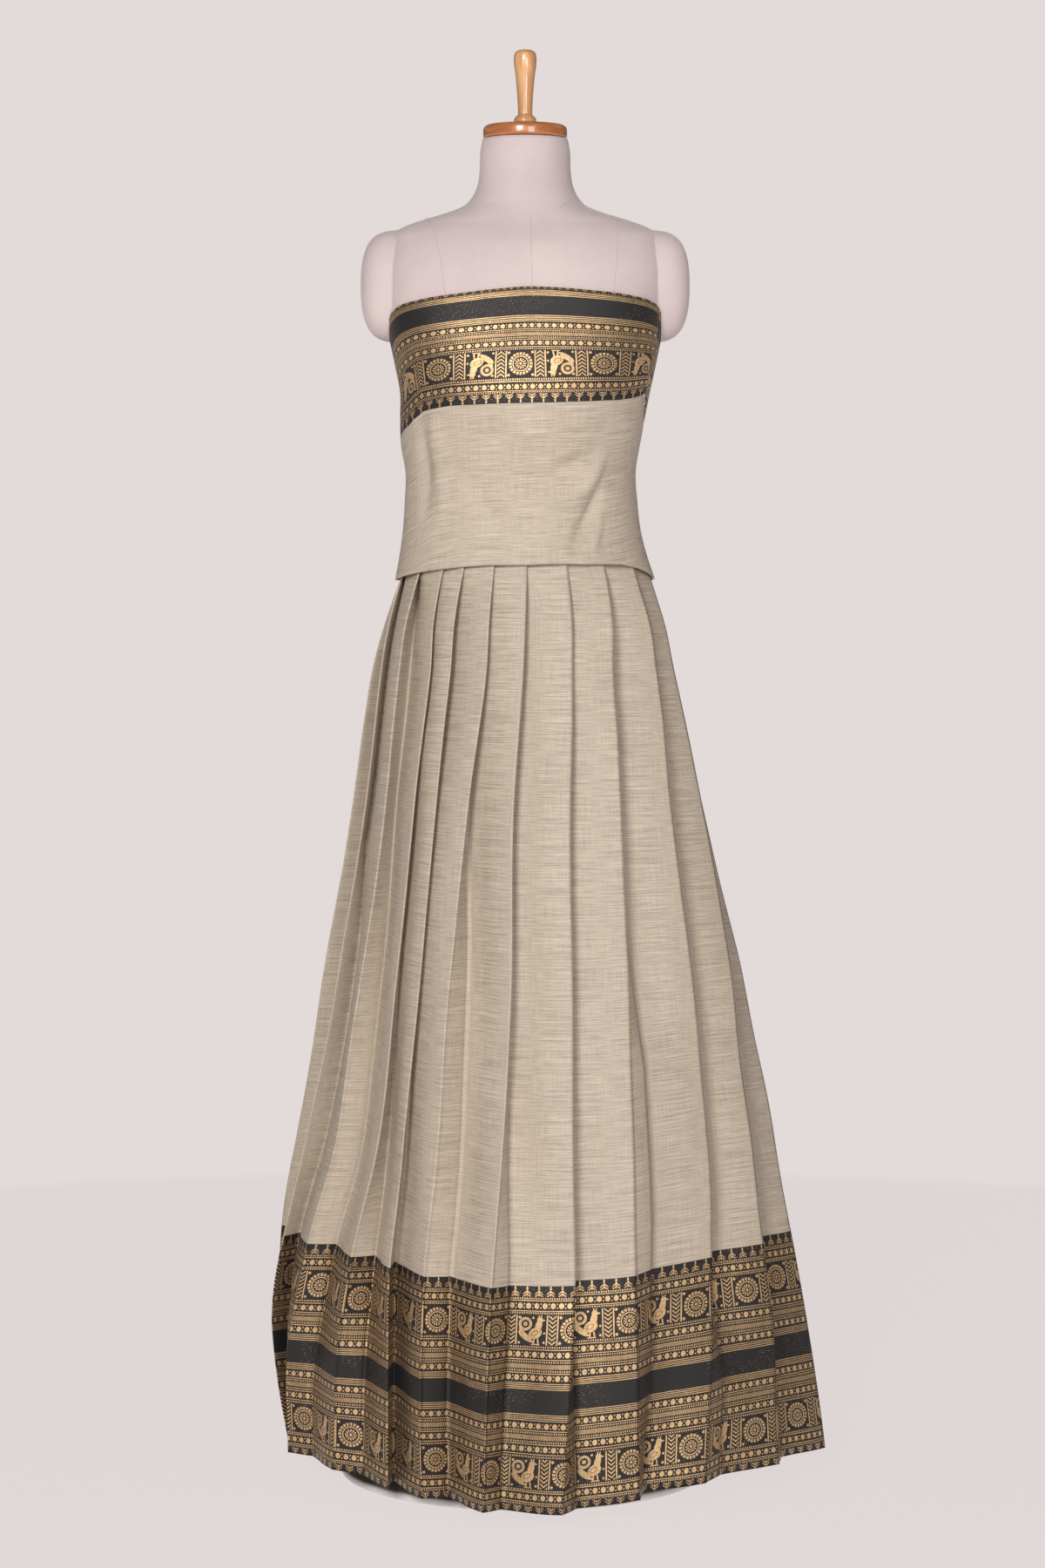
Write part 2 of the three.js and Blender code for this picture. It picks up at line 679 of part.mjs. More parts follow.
// Ball, then a slender grip that swells to a rounded head.
function finialGeometry() {
  const ballRadius = BALL_DIAMETER / 2;
  return lathe([
    [0, BALL_BOTTOM],
    [9.6, BALL_BOTTOM],
    [ballRadius - 0.7, BALL_BOTTOM + 2.4],
    [ballRadius, BALL_BOTTOM + 5],
    [ballRadius - 0.9, BALL_BOTTOM + 8],
    [9.4, BALL_BOTTOM + 10.8],
    [8.1, BALL_BOTTOM + 12],
    [8.2, BALL_BOTTOM + 18],
    [9, BALL_BOTTOM + 35],
    [10.8, BALL_BOTTOM + 55],
    [12.6, FINIAL_TOP - 19],
    [13.05, FINIAL_TOP - 11],
    [12.4, FINIAL_TOP - 5],
    [10.4, FINIAL_TOP - 2],
    [6.5, FINIAL_TOP - 0.4],
    [0, FINIAL_TOP],
  ], 28);
}

function baseGeometry() {
  return lathe([
    [0, 0],
    [BASE_RADIUS - 2, 0],
    [BASE_RADIUS, 2],
    [BASE_RADIUS, BASE_THICKNESS - 3],
    [BASE_RADIUS - 1, BASE_THICKNESS - 1],
    [BASE_RADIUS - 3.5, BASE_THICKNESS],
    [0, BASE_THICKNESS],
  ], 60);
}

function poleGeometry() {
  const low = BASE_THICKNESS + SEAM_GAP;
  const high = TORSO_BOTTOM - SEAM_GAP;
  return lathe([
    [0, low],
    [POLE_RADIUS + 12, low],
    [POLE_RADIUS + 12, low + 5],
    [POLE_RADIUS, low + 18],
    [POLE_RADIUS, high - 4],
    [POLE_RADIUS + 20, high - 4],
    [POLE_RADIUS + 20, high],
    [0, high],
  ], 24);
}

// ---------------------------------------------------------------- safety pin

const PIN = {
  angle: 69.5, // round the body, on the front layer beside its free end
  height: 1231,
  length: 15,
  spread: 4.4,
  wire: 0.45, // radius
  capLength: 3.6,
  tilt: -28, // degrees from upright, head up
};

// A bent wire with a coil at one end and a flat cap at the other, lying on the
// cloth. It is drawn in a plane with X along the pin, then set on the bodice.
function pinGeometry() {
  const half = PIN.length / 2;
  const path = new THREE.CatmullRomCurve3([
    new THREE.Vector3(half - 1, PIN.spread / 2 - 0.7, 0),
    new THREE.Vector3(half - 5, PIN.spread / 2, 0),
    new THREE.Vector3(-half + 4, PIN.spread / 2, 0),
    new THREE.Vector3(-half + 1, PIN.spread / 2 - 0.6, 0),
    new THREE.Vector3(-half, 0, 0),
    new THREE.Vector3(-half + 1, -PIN.spread / 2 + 0.6, 0),
    new THREE.Vector3(-half + 4, -PIN.spread / 2, 0),
    new THREE.Vector3(half - 5, -PIN.spread / 2, 0),
    new THREE.Vector3(half - 1, -PIN.spread / 2 + 0.7, 0),
  ]);
  const round = new THREE.Shape();
  round.absarc(0, 0, PIN.wire, 0, Math.PI * 2, false);
  const wire = new THREE.ExtrudeGeometry(round, { steps: 22, curveSegments: 3, extrudePath: path });
  const cap = new THREE.CapsuleGeometry(0.95, PIN.spread - 1.2, 2, 8);
  cap.scale(PIN.capLength / 2.2, 1, 1);
  cap.translate(half - 1.2, 0, 0);
  const coil = new THREE.TorusGeometry(1.05, 0.42, 5, 10);
  coil.translate(-half + 0.4, 0, 0);
  const joined = toManifold(wire).add(toManifold(cap)).add(toManifold(coil));
  return fromManifold(joined);
}

// Turns the pin's drawing plane on to the face of the bodice.
function placePin(mesh) {
  const here = bodicePoint(PIN.angle, PIN.height, 0);
  const ahead = bodicePoint(PIN.angle + 2, PIN.height, 0);
  const above = bodicePoint(PIN.angle, PIN.height + 8, 0);
  const across = ahead.clone().sub(here).normalize();
  const up = above.clone().sub(here).normalize();
  const outward = across.clone().cross(up).normalize();
  const upright = outward.clone().cross(across).normalize();
  const tilt = radians(PIN.tilt);
  const lengthways = upright.clone().multiplyScalar(Math.cos(tilt)).addScaledVector(across, Math.sin(tilt));
  const sideways = outward.clone().cross(lengthways).normalize();
  const clearance = 1.05;
  mesh.quaternion.setFromRotationMatrix(new THREE.Matrix4().makeBasis(lengthways, sideways, outward));
  mesh.position.copy(here).addScaledVector(outward, clearance);
}

// ---------------------------------------------------------------- the model

const MATERIALS = {
  cloth: new THREE.MeshStandardMaterial({ color: 0xa89880, roughness: 0.75, metalness: 0 }),
  padding: new THREE.MeshStandardMaterial({ color: 0xd6c3c4, roughness: 0.95, metalness: 0 }),
  wood: new THREE.MeshStandardMaterial({ color: 0xb06a32, roughness: 0.35, metalness: 0 }),
  steel: new THREE.MeshStandardMaterial({ color: 0xc8c8c4, roughness: 0.3, metalness: 1 }),
  paint: new THREE.MeshStandardMaterial({ color: 0xe8e6e2, roughness: 0.5, metalness: 0 }),
};

const halfSaree = new THREE.Group();

function addPiece(name, geometry, material) {
  const mesh = new THREE.Mesh(geometry, material);
  mesh.name = name;
  halfSaree.add(mesh);
  return mesh;
}

addPiece('skirt', skirtGeometry(), MATERIALS.cloth);
addPiece('bodice_wrap', bodiceGeometry(), MATERIALS.cloth);
placePin(addPiece('side_pin', pinGeometry(), MATERIALS.steel));
addPiece('form_torso', torsoGeometry(0), MATERIALS.padding);
addPiece('form_arm_cap_right', armCapGeometry(-1), MATERIALS.padding);
addPiece('form_arm_cap_left', armCapGeometry(1), MATERIALS.padding);
addPiece('neck_cap', neckCapGeometry(), MATERIALS.wood);
addPiece('finial', finialGeometry(), MATERIALS.wood);
addPiece('stand_pole', poleGeometry(), MATERIALS.steel);
addPiece('stand_base', baseGeometry(), MATERIALS.paint);

export default halfSaree;
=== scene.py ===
# %% [markdown]
# Half saree on a dress form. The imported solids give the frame: every piece made
# here sits where its solid sits. Sizes in the tables are millimetres, because a
# dressmaker thinks in them, and each mesh is turned into metres when it is built.
# The front of the dress faces -Y, the wearer's left is +X, and +Z is up.

# %% Load the frame
import math

import bpy
import numpy as np
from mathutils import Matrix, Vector


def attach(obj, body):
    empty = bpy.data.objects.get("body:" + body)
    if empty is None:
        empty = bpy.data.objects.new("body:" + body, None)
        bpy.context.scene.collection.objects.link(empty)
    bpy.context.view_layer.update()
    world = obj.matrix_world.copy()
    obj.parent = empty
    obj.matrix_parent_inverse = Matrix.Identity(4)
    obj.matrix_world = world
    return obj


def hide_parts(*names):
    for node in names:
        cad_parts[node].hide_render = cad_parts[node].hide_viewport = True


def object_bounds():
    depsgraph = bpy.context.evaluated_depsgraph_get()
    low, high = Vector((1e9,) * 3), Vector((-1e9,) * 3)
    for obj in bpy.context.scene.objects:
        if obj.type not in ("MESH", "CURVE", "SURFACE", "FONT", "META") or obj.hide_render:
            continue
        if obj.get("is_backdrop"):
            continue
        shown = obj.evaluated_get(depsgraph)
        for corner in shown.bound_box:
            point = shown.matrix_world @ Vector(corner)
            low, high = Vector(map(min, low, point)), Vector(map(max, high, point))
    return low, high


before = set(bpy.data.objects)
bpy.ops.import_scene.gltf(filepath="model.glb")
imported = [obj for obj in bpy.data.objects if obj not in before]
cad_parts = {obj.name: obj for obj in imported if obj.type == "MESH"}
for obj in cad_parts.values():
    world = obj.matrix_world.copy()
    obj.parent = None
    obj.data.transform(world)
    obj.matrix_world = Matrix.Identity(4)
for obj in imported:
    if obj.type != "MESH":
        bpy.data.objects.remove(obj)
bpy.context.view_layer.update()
MM = 0.001

# %% [markdown]
# The camera stands in front, a little above the middle of the dress, and is tilted
# down. A short lens close by would make the near folds too large, so a long one
# stands far off. In an upright frame the sensor size is its upright side.

# %% Camera
CAMERA_DISTANCE = 4.45
CAMERA_HEIGHT = 1.0218
CAMERA_SIDE = -0.003
CAMERA_TILT = 2.942
LENS, SENSOR_SIZE = 89.114, 36


def new_object(name, data):
    made = bpy.data.objects.new(name, data)
    bpy.context.scene.collection.objects.link(made)
    return made


camera_data = bpy.data.cameras.new("camera")
camera_data.lens = LENS
camera_data.sensor_width = SENSOR_SIZE
camera = new_object("camera", camera_data)
camera.location = (CAMERA_SIDE, -CAMERA_DISTANCE, CAMERA_HEIGHT)
camera.rotation_euler = (math.radians(90 - CAMERA_TILT), 0, 0)
bpy.context.scene.camera = camera
print("camera", CAMERA_DISTANCE, "m away, lens", LENS, "mm")

# %% [markdown]
# Three helpers serve all the cloth. The first reads a column of a table at any
# height along a smooth curve. The second finds a point on a plan outline: an
# oval whose corners can be rounder or squarer than an ellipse. The third turns a
# grid of points into a mesh with a thickness and the cloth's own flat coordinates.

# %% Reading tables smoothly
def smooth_step(value, low, high):
    share = np.clip((np.asarray(value, float) - low) / (high - low), 0, 1)
    return share * share * (3 - 2 * share)


def read_table(rows, column, key):
    """Value of a column at a key, on a smooth curve through the rows."""
    rows = rows[np.argsort(rows[:, 0])]
    keys, values = rows[:, 0], rows[:, column]
    slopes = np.gradient(values, keys)
    place = np.clip(np.searchsorted(keys, key) - 1, 0, len(keys) - 2)
    width = keys[place + 1] - keys[place]
    share = np.clip((key - keys[place]) / width, 0, 1)
    first, last = values[place], values[place + 1]
    lead_in, lead_out = slopes[place] * width, slopes[place + 1] * width
    square, cube = share**2, share**3
    return (
        (2 * cube - 3 * square + 1) * first
        + (cube - 2 * square + share) * lead_in
        + (3 * square - 2 * cube) * last
        + (cube - square) * lead_out
    )


print("a quarter of the way up, a smooth step gives", float(smooth_step(0.25, 0, 1)))

# %% Points on a plan outline
def plan_point(angle, left, right, front, back, centre_y, front_shape, back_shape):
    """Angle in degrees from the front, turning towards the wearer's left."""
    sideways, forwards = np.sin(np.radians(angle)), np.cos(np.radians(angle))
    half_width = np.where(sideways > 0, right, left)
    half_depth = np.where(forwards > 0, front, back)
    shape = np.where(forwards > 0, front_shape, back_shape)
    across = np.abs(sideways / half_width) ** shape
    along = np.abs(forwards / half_depth) ** shape
    reach = (across + along) ** (-1 / shape)
    return reach * sideways, centre_y - reach * forwards


print("a circle of 100 mm at 45 degrees:", np.round(plan_point(45, 100, 100, 100, 100, 0, 2, 2), 1))

# %% From a grid of points to a piece
def add_piece(mesh, name):
    piece = new_object(name, mesh)
    mesh.polygons.foreach_set("use_smooth", [True] * len(mesh.polygons))
    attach(piece, "root")
    return piece


def grid_piece(name, points, closed, cloth_place=None, thickness=None):
    """points is rows x columns x 3 in mm, listed upwards and anticlockwise."""
    rows, columns = points.shape[:2]
    numbers = np.arange(rows * columns).reshape(rows, columns)
    steps = columns if closed else columns - 1
    here = np.arange(steps)
    after = (here + 1) % columns
    faces = np.stack(
        [numbers[:-1][:, here], numbers[:-1][:, after], numbers[1:][:, after], numbers[1:][:, here]], -1
    ).reshape(-1, 4)
    mesh = bpy.data.meshes.new(name)
    mesh.from_pydata((points.reshape(-1, 3) * MM).tolist(), [], faces.tolist())
    if cloth_place is not None:
        # The last column of a closed ring meets the first, so it ends one step on.
        corner = np.stack([here, here + 1, here + 1, here], -1)
        low_high = np.array([0, 0, 1, 1])
        layer = mesh.uv_layers.new(name="cloth")
        place = cloth_place[np.arange(rows - 1)[:, None, None] + low_high, corner]
        layer.data.foreach_set("uv", (place * MM).ravel())
    piece = add_piece(mesh, name)
    if thickness:
        shell = piece.modifiers.new("thickness", "SOLIDIFY")
        shell.thickness = thickness * MM
        shell.offset = -1
    return piece


print("helpers ready")

# %% [markdown]
# The skirt is one straight length of cloth, laid in 22 knife pleats that all turn
# towards the wearer's left. Each pleat takes 100 mm of cloth: a face that shows
# and an underfold tucked behind the fold before it. At the waist they lie flat.
# Lower down the skirt is wider, so each one swings open into a saw tooth. A cloth
# simulation would blur these pressed folds, so every ring of the skirt is worked
# out from the width of its pleats.

# %% Skirt sizes
SKIRT_TOP, WAIST, BORDER_TOP, HEM = 1057, 1035, 265, 18
# How far one layer stands off the next, the room between two valleys, and where
# the face turns away from its valley.
FOLD_STEP = 1.6
FOLD_CLEARANCE = 9
FOLD_BEND = 4
FACE_DEPTH = 2.3 * FOLD_STEP
SKIRT_THICKNESS = 0.7

SKIRT_SECTIONS = np.array([
    # height, left, right, front, back, centre_y, front_shape, back_shape
    [1058, 139, 133, 96.5, 88.5, 0, 2.1, 2.1],
    [1035, 142.5, 142, 101.5, 95, 0, 2.1, 2.1],
    [1023, 146.6, 145.8, 106.6, 99.6, 0, 2.1, 2.1],
    [1010, 151, 150, 112, 104.5, 0, 2.1, 2.1],
    [975, 162, 161, 125, 117, 0, 2.1, 2.1],
    [930, 174, 171, 137, 129, 0, 2, 2.1],
    [870, 184, 185, 154, 145, -2, 1.95, 2.1],
    [785, 196, 203, 172, 165, -8, 1.9, 2.1],
    [685, 211, 224, 190, 188, -18, 1.8, 2.1],
    [585, 228, 245, 205, 212, -28, 1.7, 2.1],
    [485, 244, 263, 218, 236, -40, 1.6, 2.15],
    [375, 262, 285, 228, 264, -53, 1.5, 2.2],
    [265, 282, 305, 232, 296, -66, 1.42, 2.2],
    [140, 288, 326, 230, 330, -74, 1.36, 2.2],
    [18, 274, 339, 225, 362, -80, 1.32, 2.2],
])

# Heights at which the fold edges were measured, then their angles round the
# plan, one row for each pleat that shows from in front, from right to left of
# the wearer. The last column is the width of cloth in the pleat.
FOLD_HEIGHTS = np.array([1035, 930, 785, 585, 375, 265, 140, 18])
FRONT_FOLDS = np.array([
    [-81.5, -74, -70, -74, -80.5, -84.5, -91, -97.5, 100],
    [-64.3, -60.6, -57.3, -60, -67, -74, -80.8, -87, 100],
    [-49.8, -44.2, -43.4, -44.3, -49.5, -57, -62.8, -67.8, 96],
    [-37.8, -34.6, -34, -35.5, -39, -42.8, -45, -46.8, 86],
    [-19.6, -17.8, -21, -24.4, -27, -30.5, -32.5, -34, 98],
    [1.1, -0.7, -4, -4.2, -6.9, -9, -10.7, -12.2, 100],
    [26.5, 22, 16.9, 14.7, 13.8, 14.2, 12.4, 10.8, 100],
    [48.8, 41.5, 36.6, 33.9, 32.8, 33.2, 34.4, 35.5, 100],
    [68, 65.5, 59, 58.4, 59, 58.5, 57.6, 56.5, 102],
    [87, 83, 81, 78, 76, 75.6, 76.2, 76.8, 100],
])
BACK_PLEATS = 12
PLEAT_CLOTH = 100
print(len(FRONT_FOLDS), "folds show from in front and", BACK_PLEATS, "lie behind")

# %% Fold edges all round
LIFT_TOP, SIDE_LIFT, FRONT_DROP = 900, 24, 3
BACK_UNEVENNESS = 0.08


def all_folds():
    """The front folds, and the back ones spread between their two ends."""
    first, last = FRONT_FOLDS[0], FRONT_FOLDS[-1]
    folds = list(FRONT_FOLDS)
    for number in range(1, BACK_PLEATS + 1):
        share = (number + BACK_UNEVENNESS * math.sin(number * 2.4)) / (BACK_PLEATS + 1)
        fold = last[:-1] + (first[:-1] + 360 - last[:-1]) * share
        folds.append(np.append(fold, PLEAT_CLOTH))
    return np.array(folds)


FOLDS = all_folds()
PLEATS = len(FOLDS)


def fold_angle(pleat, height):
    table = np.column_stack([FOLD_HEIGHTS, FOLDS[pleat, :-1]])
    return float(read_table(table, 1, height))


def skirt_section(height):
    return [float(read_table(SKIRT_SECTIONS, column, height)) for column in range(1, 8)]


def skirt_point(angle, height):
    return np.array(plan_point(angle, *skirt_section(height)), float)


def hem_lift(angle, height):
    share = 1 - smooth_step(height, BORDER_TOP, LIFT_TOP)
    return share * (SIDE_LIFT * math.sin(math.radians(angle)) ** 2 - FRONT_DROP)


print(PLEATS, "pleats,", round(FOLDS[:, -1].sum()), "mm of cloth")

# %% [markdown]
# One ring of the skirt goes from fold to fold: back along the underfold, round
# the valley, and out along the face. The face bows a little, because the cloth
# is soft.

# %% One pleat at one height
UNDERFOLD_STEPS, BEND_STEPS, FACE_STEPS = 6, 3, 9
LEAST_SLACK, VALLEY_ROOM = 3, 2
BEND_SHARE = 0.34
UNDERFOLD_BOW = 0.05
BULGE_SHARE, MOST_BULGE = 0.08, 2.2
FACE_END = 0.35


def pleat_shape(pleat, height):
    before = (pleat - 1) % PLEATS
    turn = 360 if pleat == 0 else 0
    start_angle, end_angle = fold_angle(before, height) - turn, fold_angle(pleat, height)
    start, end = skirt_point(start_angle, height), skirt_point(end_angle, height)
    pitch = np.linalg.norm(end - start)
    along = (end - start) / pitch
    flat = np.linalg.norm(
        skirt_point(fold_angle(before, WAIST), WAIST) - skirt_point(fold_angle(pleat, WAIST), WAIST)
    )
    cloth = max(FOLDS[pleat, -1], pitch + LEAST_SLACK)
    face, underfold = (cloth + flat) / 2, (cloth - flat) / 2
    reach = max(-underfold, (pitch**2 + underfold**2 - face**2) / (2 * pitch))
    open_depth = math.sqrt(max(0, underfold**2 - reach**2)) - VALLEY_ROOM
    slope = max(FACE_DEPTH / (pitch - FOLD_BEND), (open_depth + 2 * FOLD_STEP) / (pitch - reach))
    return {
        "start": start, "end": end, "pitch": pitch, "along": along,
        "start_angle": start_angle, "end_angle": end_angle,
        "underfold": underfold, "reach": reach, "open_depth": open_depth, "slope": slope,
    }


def inward_of(along):
    return np.array([-along[1], along[0]])


def pleat_outline(shape, behind):
    """Points of one pleat, and how far each lies between its two fold edges."""
    pitch, start = shape["pitch"], shape["start"]
    reach = max(shape["reach"], -(behind["pitch"] - FOLD_CLEARANCE))
    depth = FOLD_STEP + max(max(0, -reach) * behind["slope"], shape["open_depth"])
    flatness = float(smooth_step(-shape["reach"] / shape["underfold"], 0.2, 0.8))
    tucked = shape["along"] * (1 - flatness) + behind["along"] * flatness
    tucked = tucked / np.linalg.norm(tucked)
    valley_depth = depth + FOLD_STEP
    bend = max(FOLD_BEND, reach + BEND_SHARE * (pitch - reach))
    bend_depth = max(FACE_DEPTH, valley_depth * (pitch - bend) / (pitch - reach))
    bulge = min(MOST_BULGE, BULGE_SHARE * valley_depth)

    def on_face(distance, inset):
        return start + shape["along"] * distance + inward_of(shape["along"]) * inset

    def in_tuck(distance, inset):
        return start + tucked * distance + inward_of(tucked) * inset

    corners = [
        (0, on_face(0, FOLD_STEP)),
        (reach, in_tuck(reach, depth)),
        (reach, in_tuck(reach, valley_depth)),
        (bend, on_face(bend, bend_depth)),
        (pitch, shape["end"]),
    ]
    points, places = [], []

    def add_point(first, last, share, bow=0):
        """A point between two corners, bowed outward."""
        point = corners[first][1] * (1 - share) + corners[last][1] * share
        points.append(point - inward_of(shape["along"]) * bow)
        places.append(corners[first][0] * (1 - share) + corners[last][0] * share)

    for step in range(UNDERFOLD_STEPS):
        share = step / UNDERFOLD_STEPS
        add_point(0, 1, share, UNDERFOLD_BOW * depth * math.sin(math.pi * share) * (1 - flatness))
    add_point(0, 1, 1)
    for step in range(BEND_STEPS):
        add_point(2, 3, step / BEND_STEPS)
    for step in range(FACE_STEPS):
        share = step / (FACE_STEPS - FACE_END)
        add_point(3, 4, share, bulge * math.sin(math.pi * share))
    add_point(3, 4, 1)
    return points, places


waist_pleat = pleat_shape(4, WAIST)
print("at the waist the middle pleat spans", round(float(waist_pleat["pitch"]), 1), "mm")

# %% Rows of the whole skirt
YOKE_END, YOKE_ROWS, SKIRT_ROWS = 1000, 12, 98
ROWS = np.unique(np.concatenate([
    np.linspace(SKIRT_TOP, YOKE_END, YOKE_ROWS),
    np.linspace(YOKE_END, HEM, SKIRT_ROWS),
]))


def skirt_rings():
    rings, lengths = [], []
    for height in ROWS:
        shapes = [pleat_shape(pleat, height) for pleat in range(PLEATS)]
        ring, ring_lengths = [], []
        for pleat, shape in enumerate(shapes):
            points, places = pleat_outline(shape, shapes[pleat - 1])
            points = np.array(points)
            run = np.concatenate([[0], np.cumsum(np.linalg.norm(np.diff(points, axis=0), axis=1))])
            ring_lengths.append(run)
            for point, place in zip(points, places):
                span = shape["end_angle"] - shape["start_angle"]
                angle = shape["start_angle"] + span * place / shape["pitch"]
                ring.append([point[0], point[1], height + hem_lift(angle, height)])
        rings.append(ring)
        lengths.append(ring_lengths)
    return np.array(rings), np.array(lengths)


skirt_points, skirt_runs = skirt_rings()
COLUMNS = skirt_points.shape[1] // PLEATS
print("skirt grid", skirt_points.shape)

# %% [markdown]
# The cloth's own flat coordinates carry the woven pattern: across runs along the
# length of the cloth, and down is measured from the line where the border
# begins. The border is woven straight, so one row of the grid has one value.

# %% Cloth coordinates of the skirt
MOTIF_SHIFT = 11
GUIDE_HEIGHT = 140
SLOPE_STRETCH = 1.012


def skirt_cloth_place():
    guide = int(np.argmin(np.abs(ROWS - GUIDE_HEIGHT)))
    widths = skirt_runs[guide, :, -1]
    starts = np.concatenate([[0], np.cumsum(widths)])
    place = np.empty((len(ROWS), PLEATS * COLUMNS + 1, 2))
    for row, height in enumerate(ROWS):
        shares = skirt_runs[row] / skirt_runs[row, :, -1:]
        across = starts[:-1, None] + shares * widths[:, None]
        place[row, :-1, 0] = across.ravel() + MOTIF_SHIFT
        place[row, -1, 0] = starts[-1] + MOTIF_SHIFT
        place[row, :, 1] = (BORDER_TOP - height) * SLOPE_STRETCH
    return place, starts[-1]


skirt_place, skirt_cloth_length = skirt_cloth_place()
print("cloth round the skirt", round(skirt_cloth_length), "mm")

# %% [markdown]
# Hanging cloth is never quite even. Dents could be shaped by hand, but three slow
# waves are quicker to change. They reach a few millimetres at the hem.

# %% Soft unevenness of the skirt
# Each wave: its size, how many fit round, its length downwards, and its start.
WAVES = ((1.5, 5, 95, 0), (1.1, 9, -61, 1.3), (0.7, 17, 37, 0.4))
SKIRT_MIDDLE_Y = -40


def soften_skirt(points):
    angle = np.arctan2(points[..., 0], -(points[..., 1] - SKIRT_MIDDLE_Y))
    height = points[..., 2]
    growth = smooth_step(YOKE_END - height, 60, 700)
    wave = 0
    for size, count, length, start in WAVES:
        wave = wave + size * np.sin(angle * count + height / length + start)
    outward = np.stack([np.sin(angle), -np.cos(angle)], -1)
    points[..., :2] += outward * (wave * growth)[..., None]
    return points


skirt = grid_piece("skirt_cloth", soften_skirt(skirt_points), True, skirt_place, SKIRT_THICKNESS)
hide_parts("skirt")
print("skirt has", len(skirt.data.polygons), "faces")

# %% [markdown]
# The bodice is a second length of the same cloth, wound once round the form with
# its border at the top, and pinned at the wearer's left. Its front end lies over
# its own beginning. The top and bottom edges are folded under. It is one strip of
# a grid, a little more than a full turn long.

# %% Bodice sizes
BODICE_SECTIONS = np.array([
    # height, left, right, front, back, shape
    [1356, 161.5, 161.5, 98.6, 89.9, 2.9],
    [1310, 158, 158, 106.5, 93, 2.75],
    [1270, 150, 150.5, 115, 93.4, 2.45],
    [1240, 144.5, 144, 118, 90.5, 2.3],
    [1210, 144.5, 138, 116, 88.5, 2.25],
    [1180, 143.5, 131, 109.5, 86.5, 2.2],
    [1150, 138.5, 126.5, 102.5, 85, 2.15],
    [1115, 139.5, 128.5, 99, 85, 2.1],
    [1080, 142, 133, 98.5, 88.5, 2.1],
    [1052, 146, 140.5, 104, 97, 2.1],
    [1022, 151.5, 151, 111.5, 106, 2.1],
])
BODICE_EDGES = np.array([
    # angle to either side, top edge, bottom edge; the first row mirrors the
    # third, so that the edge is level at the centre front
    [-35, 1350.5, 1040],
    [0, 1354, 1041],
    [35, 1350.5, 1040],
    [54, 1345.5, 1036],
    [66, 1339, 1033],
    [76, 1327, 1030],
    [86, 1312, 1027],
    [95, 1296, 1027],
    [105, 1288, 1027],
    [125, 1297, 1032],
    [180, 1316, 1038],
])
# Where the border ends: angle along the cloth from its hidden end, and height.
BORDER_LINE = np.array([
    [50, 1206], [120, 1202], [200, 1198], [270, 1186], [291, 1201], [303, 1216],
    [319, 1221], [340, 1222.6], [375, 1224.3], [396, 1226.2], [411, 1228.4],
    [420, 1231.5], [431, 1237], [451, 1242],
])
# The top edge lies a little lower on the wearer's right: angle and drop.
EDGE_DROP = np.array([[262, 0], [285, 4], [300, 4.7], [315, 4], [345, 1.5], [360, 0]])
# The bottom edge is pulled up a little, most at the wearer's left: angle and lift.
EDGE_LIFT = np.array([[-80, 0], [-60, 1.5], [0, 2.5], [35, 4.5], [57, 9], [68, 8], [80, 5], [95, 0]])
# The cloth is pulled over the bust, so the border runs alongside the top edge
# there: height above the border's end, out of BUST_BORDER in all, and how far
# into the woven border that is.
BUST_BORDER = 132
BORDER_STRETCH = np.array([
    [0, 0], [10, 10.5], [18.4, 22.2], [28.9, 31], [60.1, 65], [92, 106],
    [99.9, 113.5], [121.8, 140.5], [128, 147.4], [132, 154.5], [150, 175],
])
# The pattern runs round the bust at this radius, from a place that puts a wheel
# at the centre front.
PATTERN_RADIUS, PATTERN_START = 121, -27
# Angles of the hidden beginning and of the free end, which runs further back below
# the pin. The slant lies between two shares of the height.
WRAP_START, WRAP_END, WRAP_END_SLANT = 50, 431, 20
SLANT_FROM, SLANT_TO = 0.51, 0.65
# Angles where the cloth rises over its own beginning, where the folds start and
# fade out, and where the pull over the bust ends at either side.
RAMP_FROM, RAMP_TO = WRAP_START + 305, WRAP_START + 355
FOLDS_FROM, FOLDS_FADE, FOLDS_END = WRAP_START + 60, 402, 412
BUST_SIDE, BUST_END = 84, 100
LAYER = 1.7
BODICE_THICKNESS = 1.0
BODICE_ROWS, BODICE_COLUMNS = 76, 260
print("the bodice cloth goes round", round((WRAP_END - WRAP_START) / 360, 2), "times")

# %% Shape of the wrapped cloth
def signed_angle(angle):
    return np.mod(angle + 180, 360) - 180


def bodice_points(angle, height, inset):
    section = [read_table(BODICE_SECTIONS, column, height) for column in range(1, 6)]
    left, right, front, back = (value - inset for value in section[:4])
    x, y = plan_point(angle, left, right, front, back, 0, section[4], section[4])
    return np.stack([x, y, height], -1)


# Soft folds: from angle and height to angle and height, then depth and half
# width. A positive depth is a trough, a negative one a ridge.
BODICE_FOLDS = [
    (43, 1170, 17, 1147, 4.8, 8),
    (62, 1186, 30, 1112, -5.4, 9),
    (55, 1146, 31, 1066, 6.5, 9),
    (60, 1128, 41, 1062, -5.0, 6),
    (66, 1136, 48, 1060, 5.5, 8),
    (66, 1212, 40, 1196, 2.2, 7),
    (-58, 1216, -63, 1100, 4.4, 8),
    (-50, 1212, -53, 1090, -3.0, 9),
    (-38, 1150, -14, 1068, 2.0, 13),
    (110, 1190, 150, 1080, 2.6, 18),
    (-150, 1200, -118, 1090, 2.4, 18),
]
FOLD_RADIUS = 130


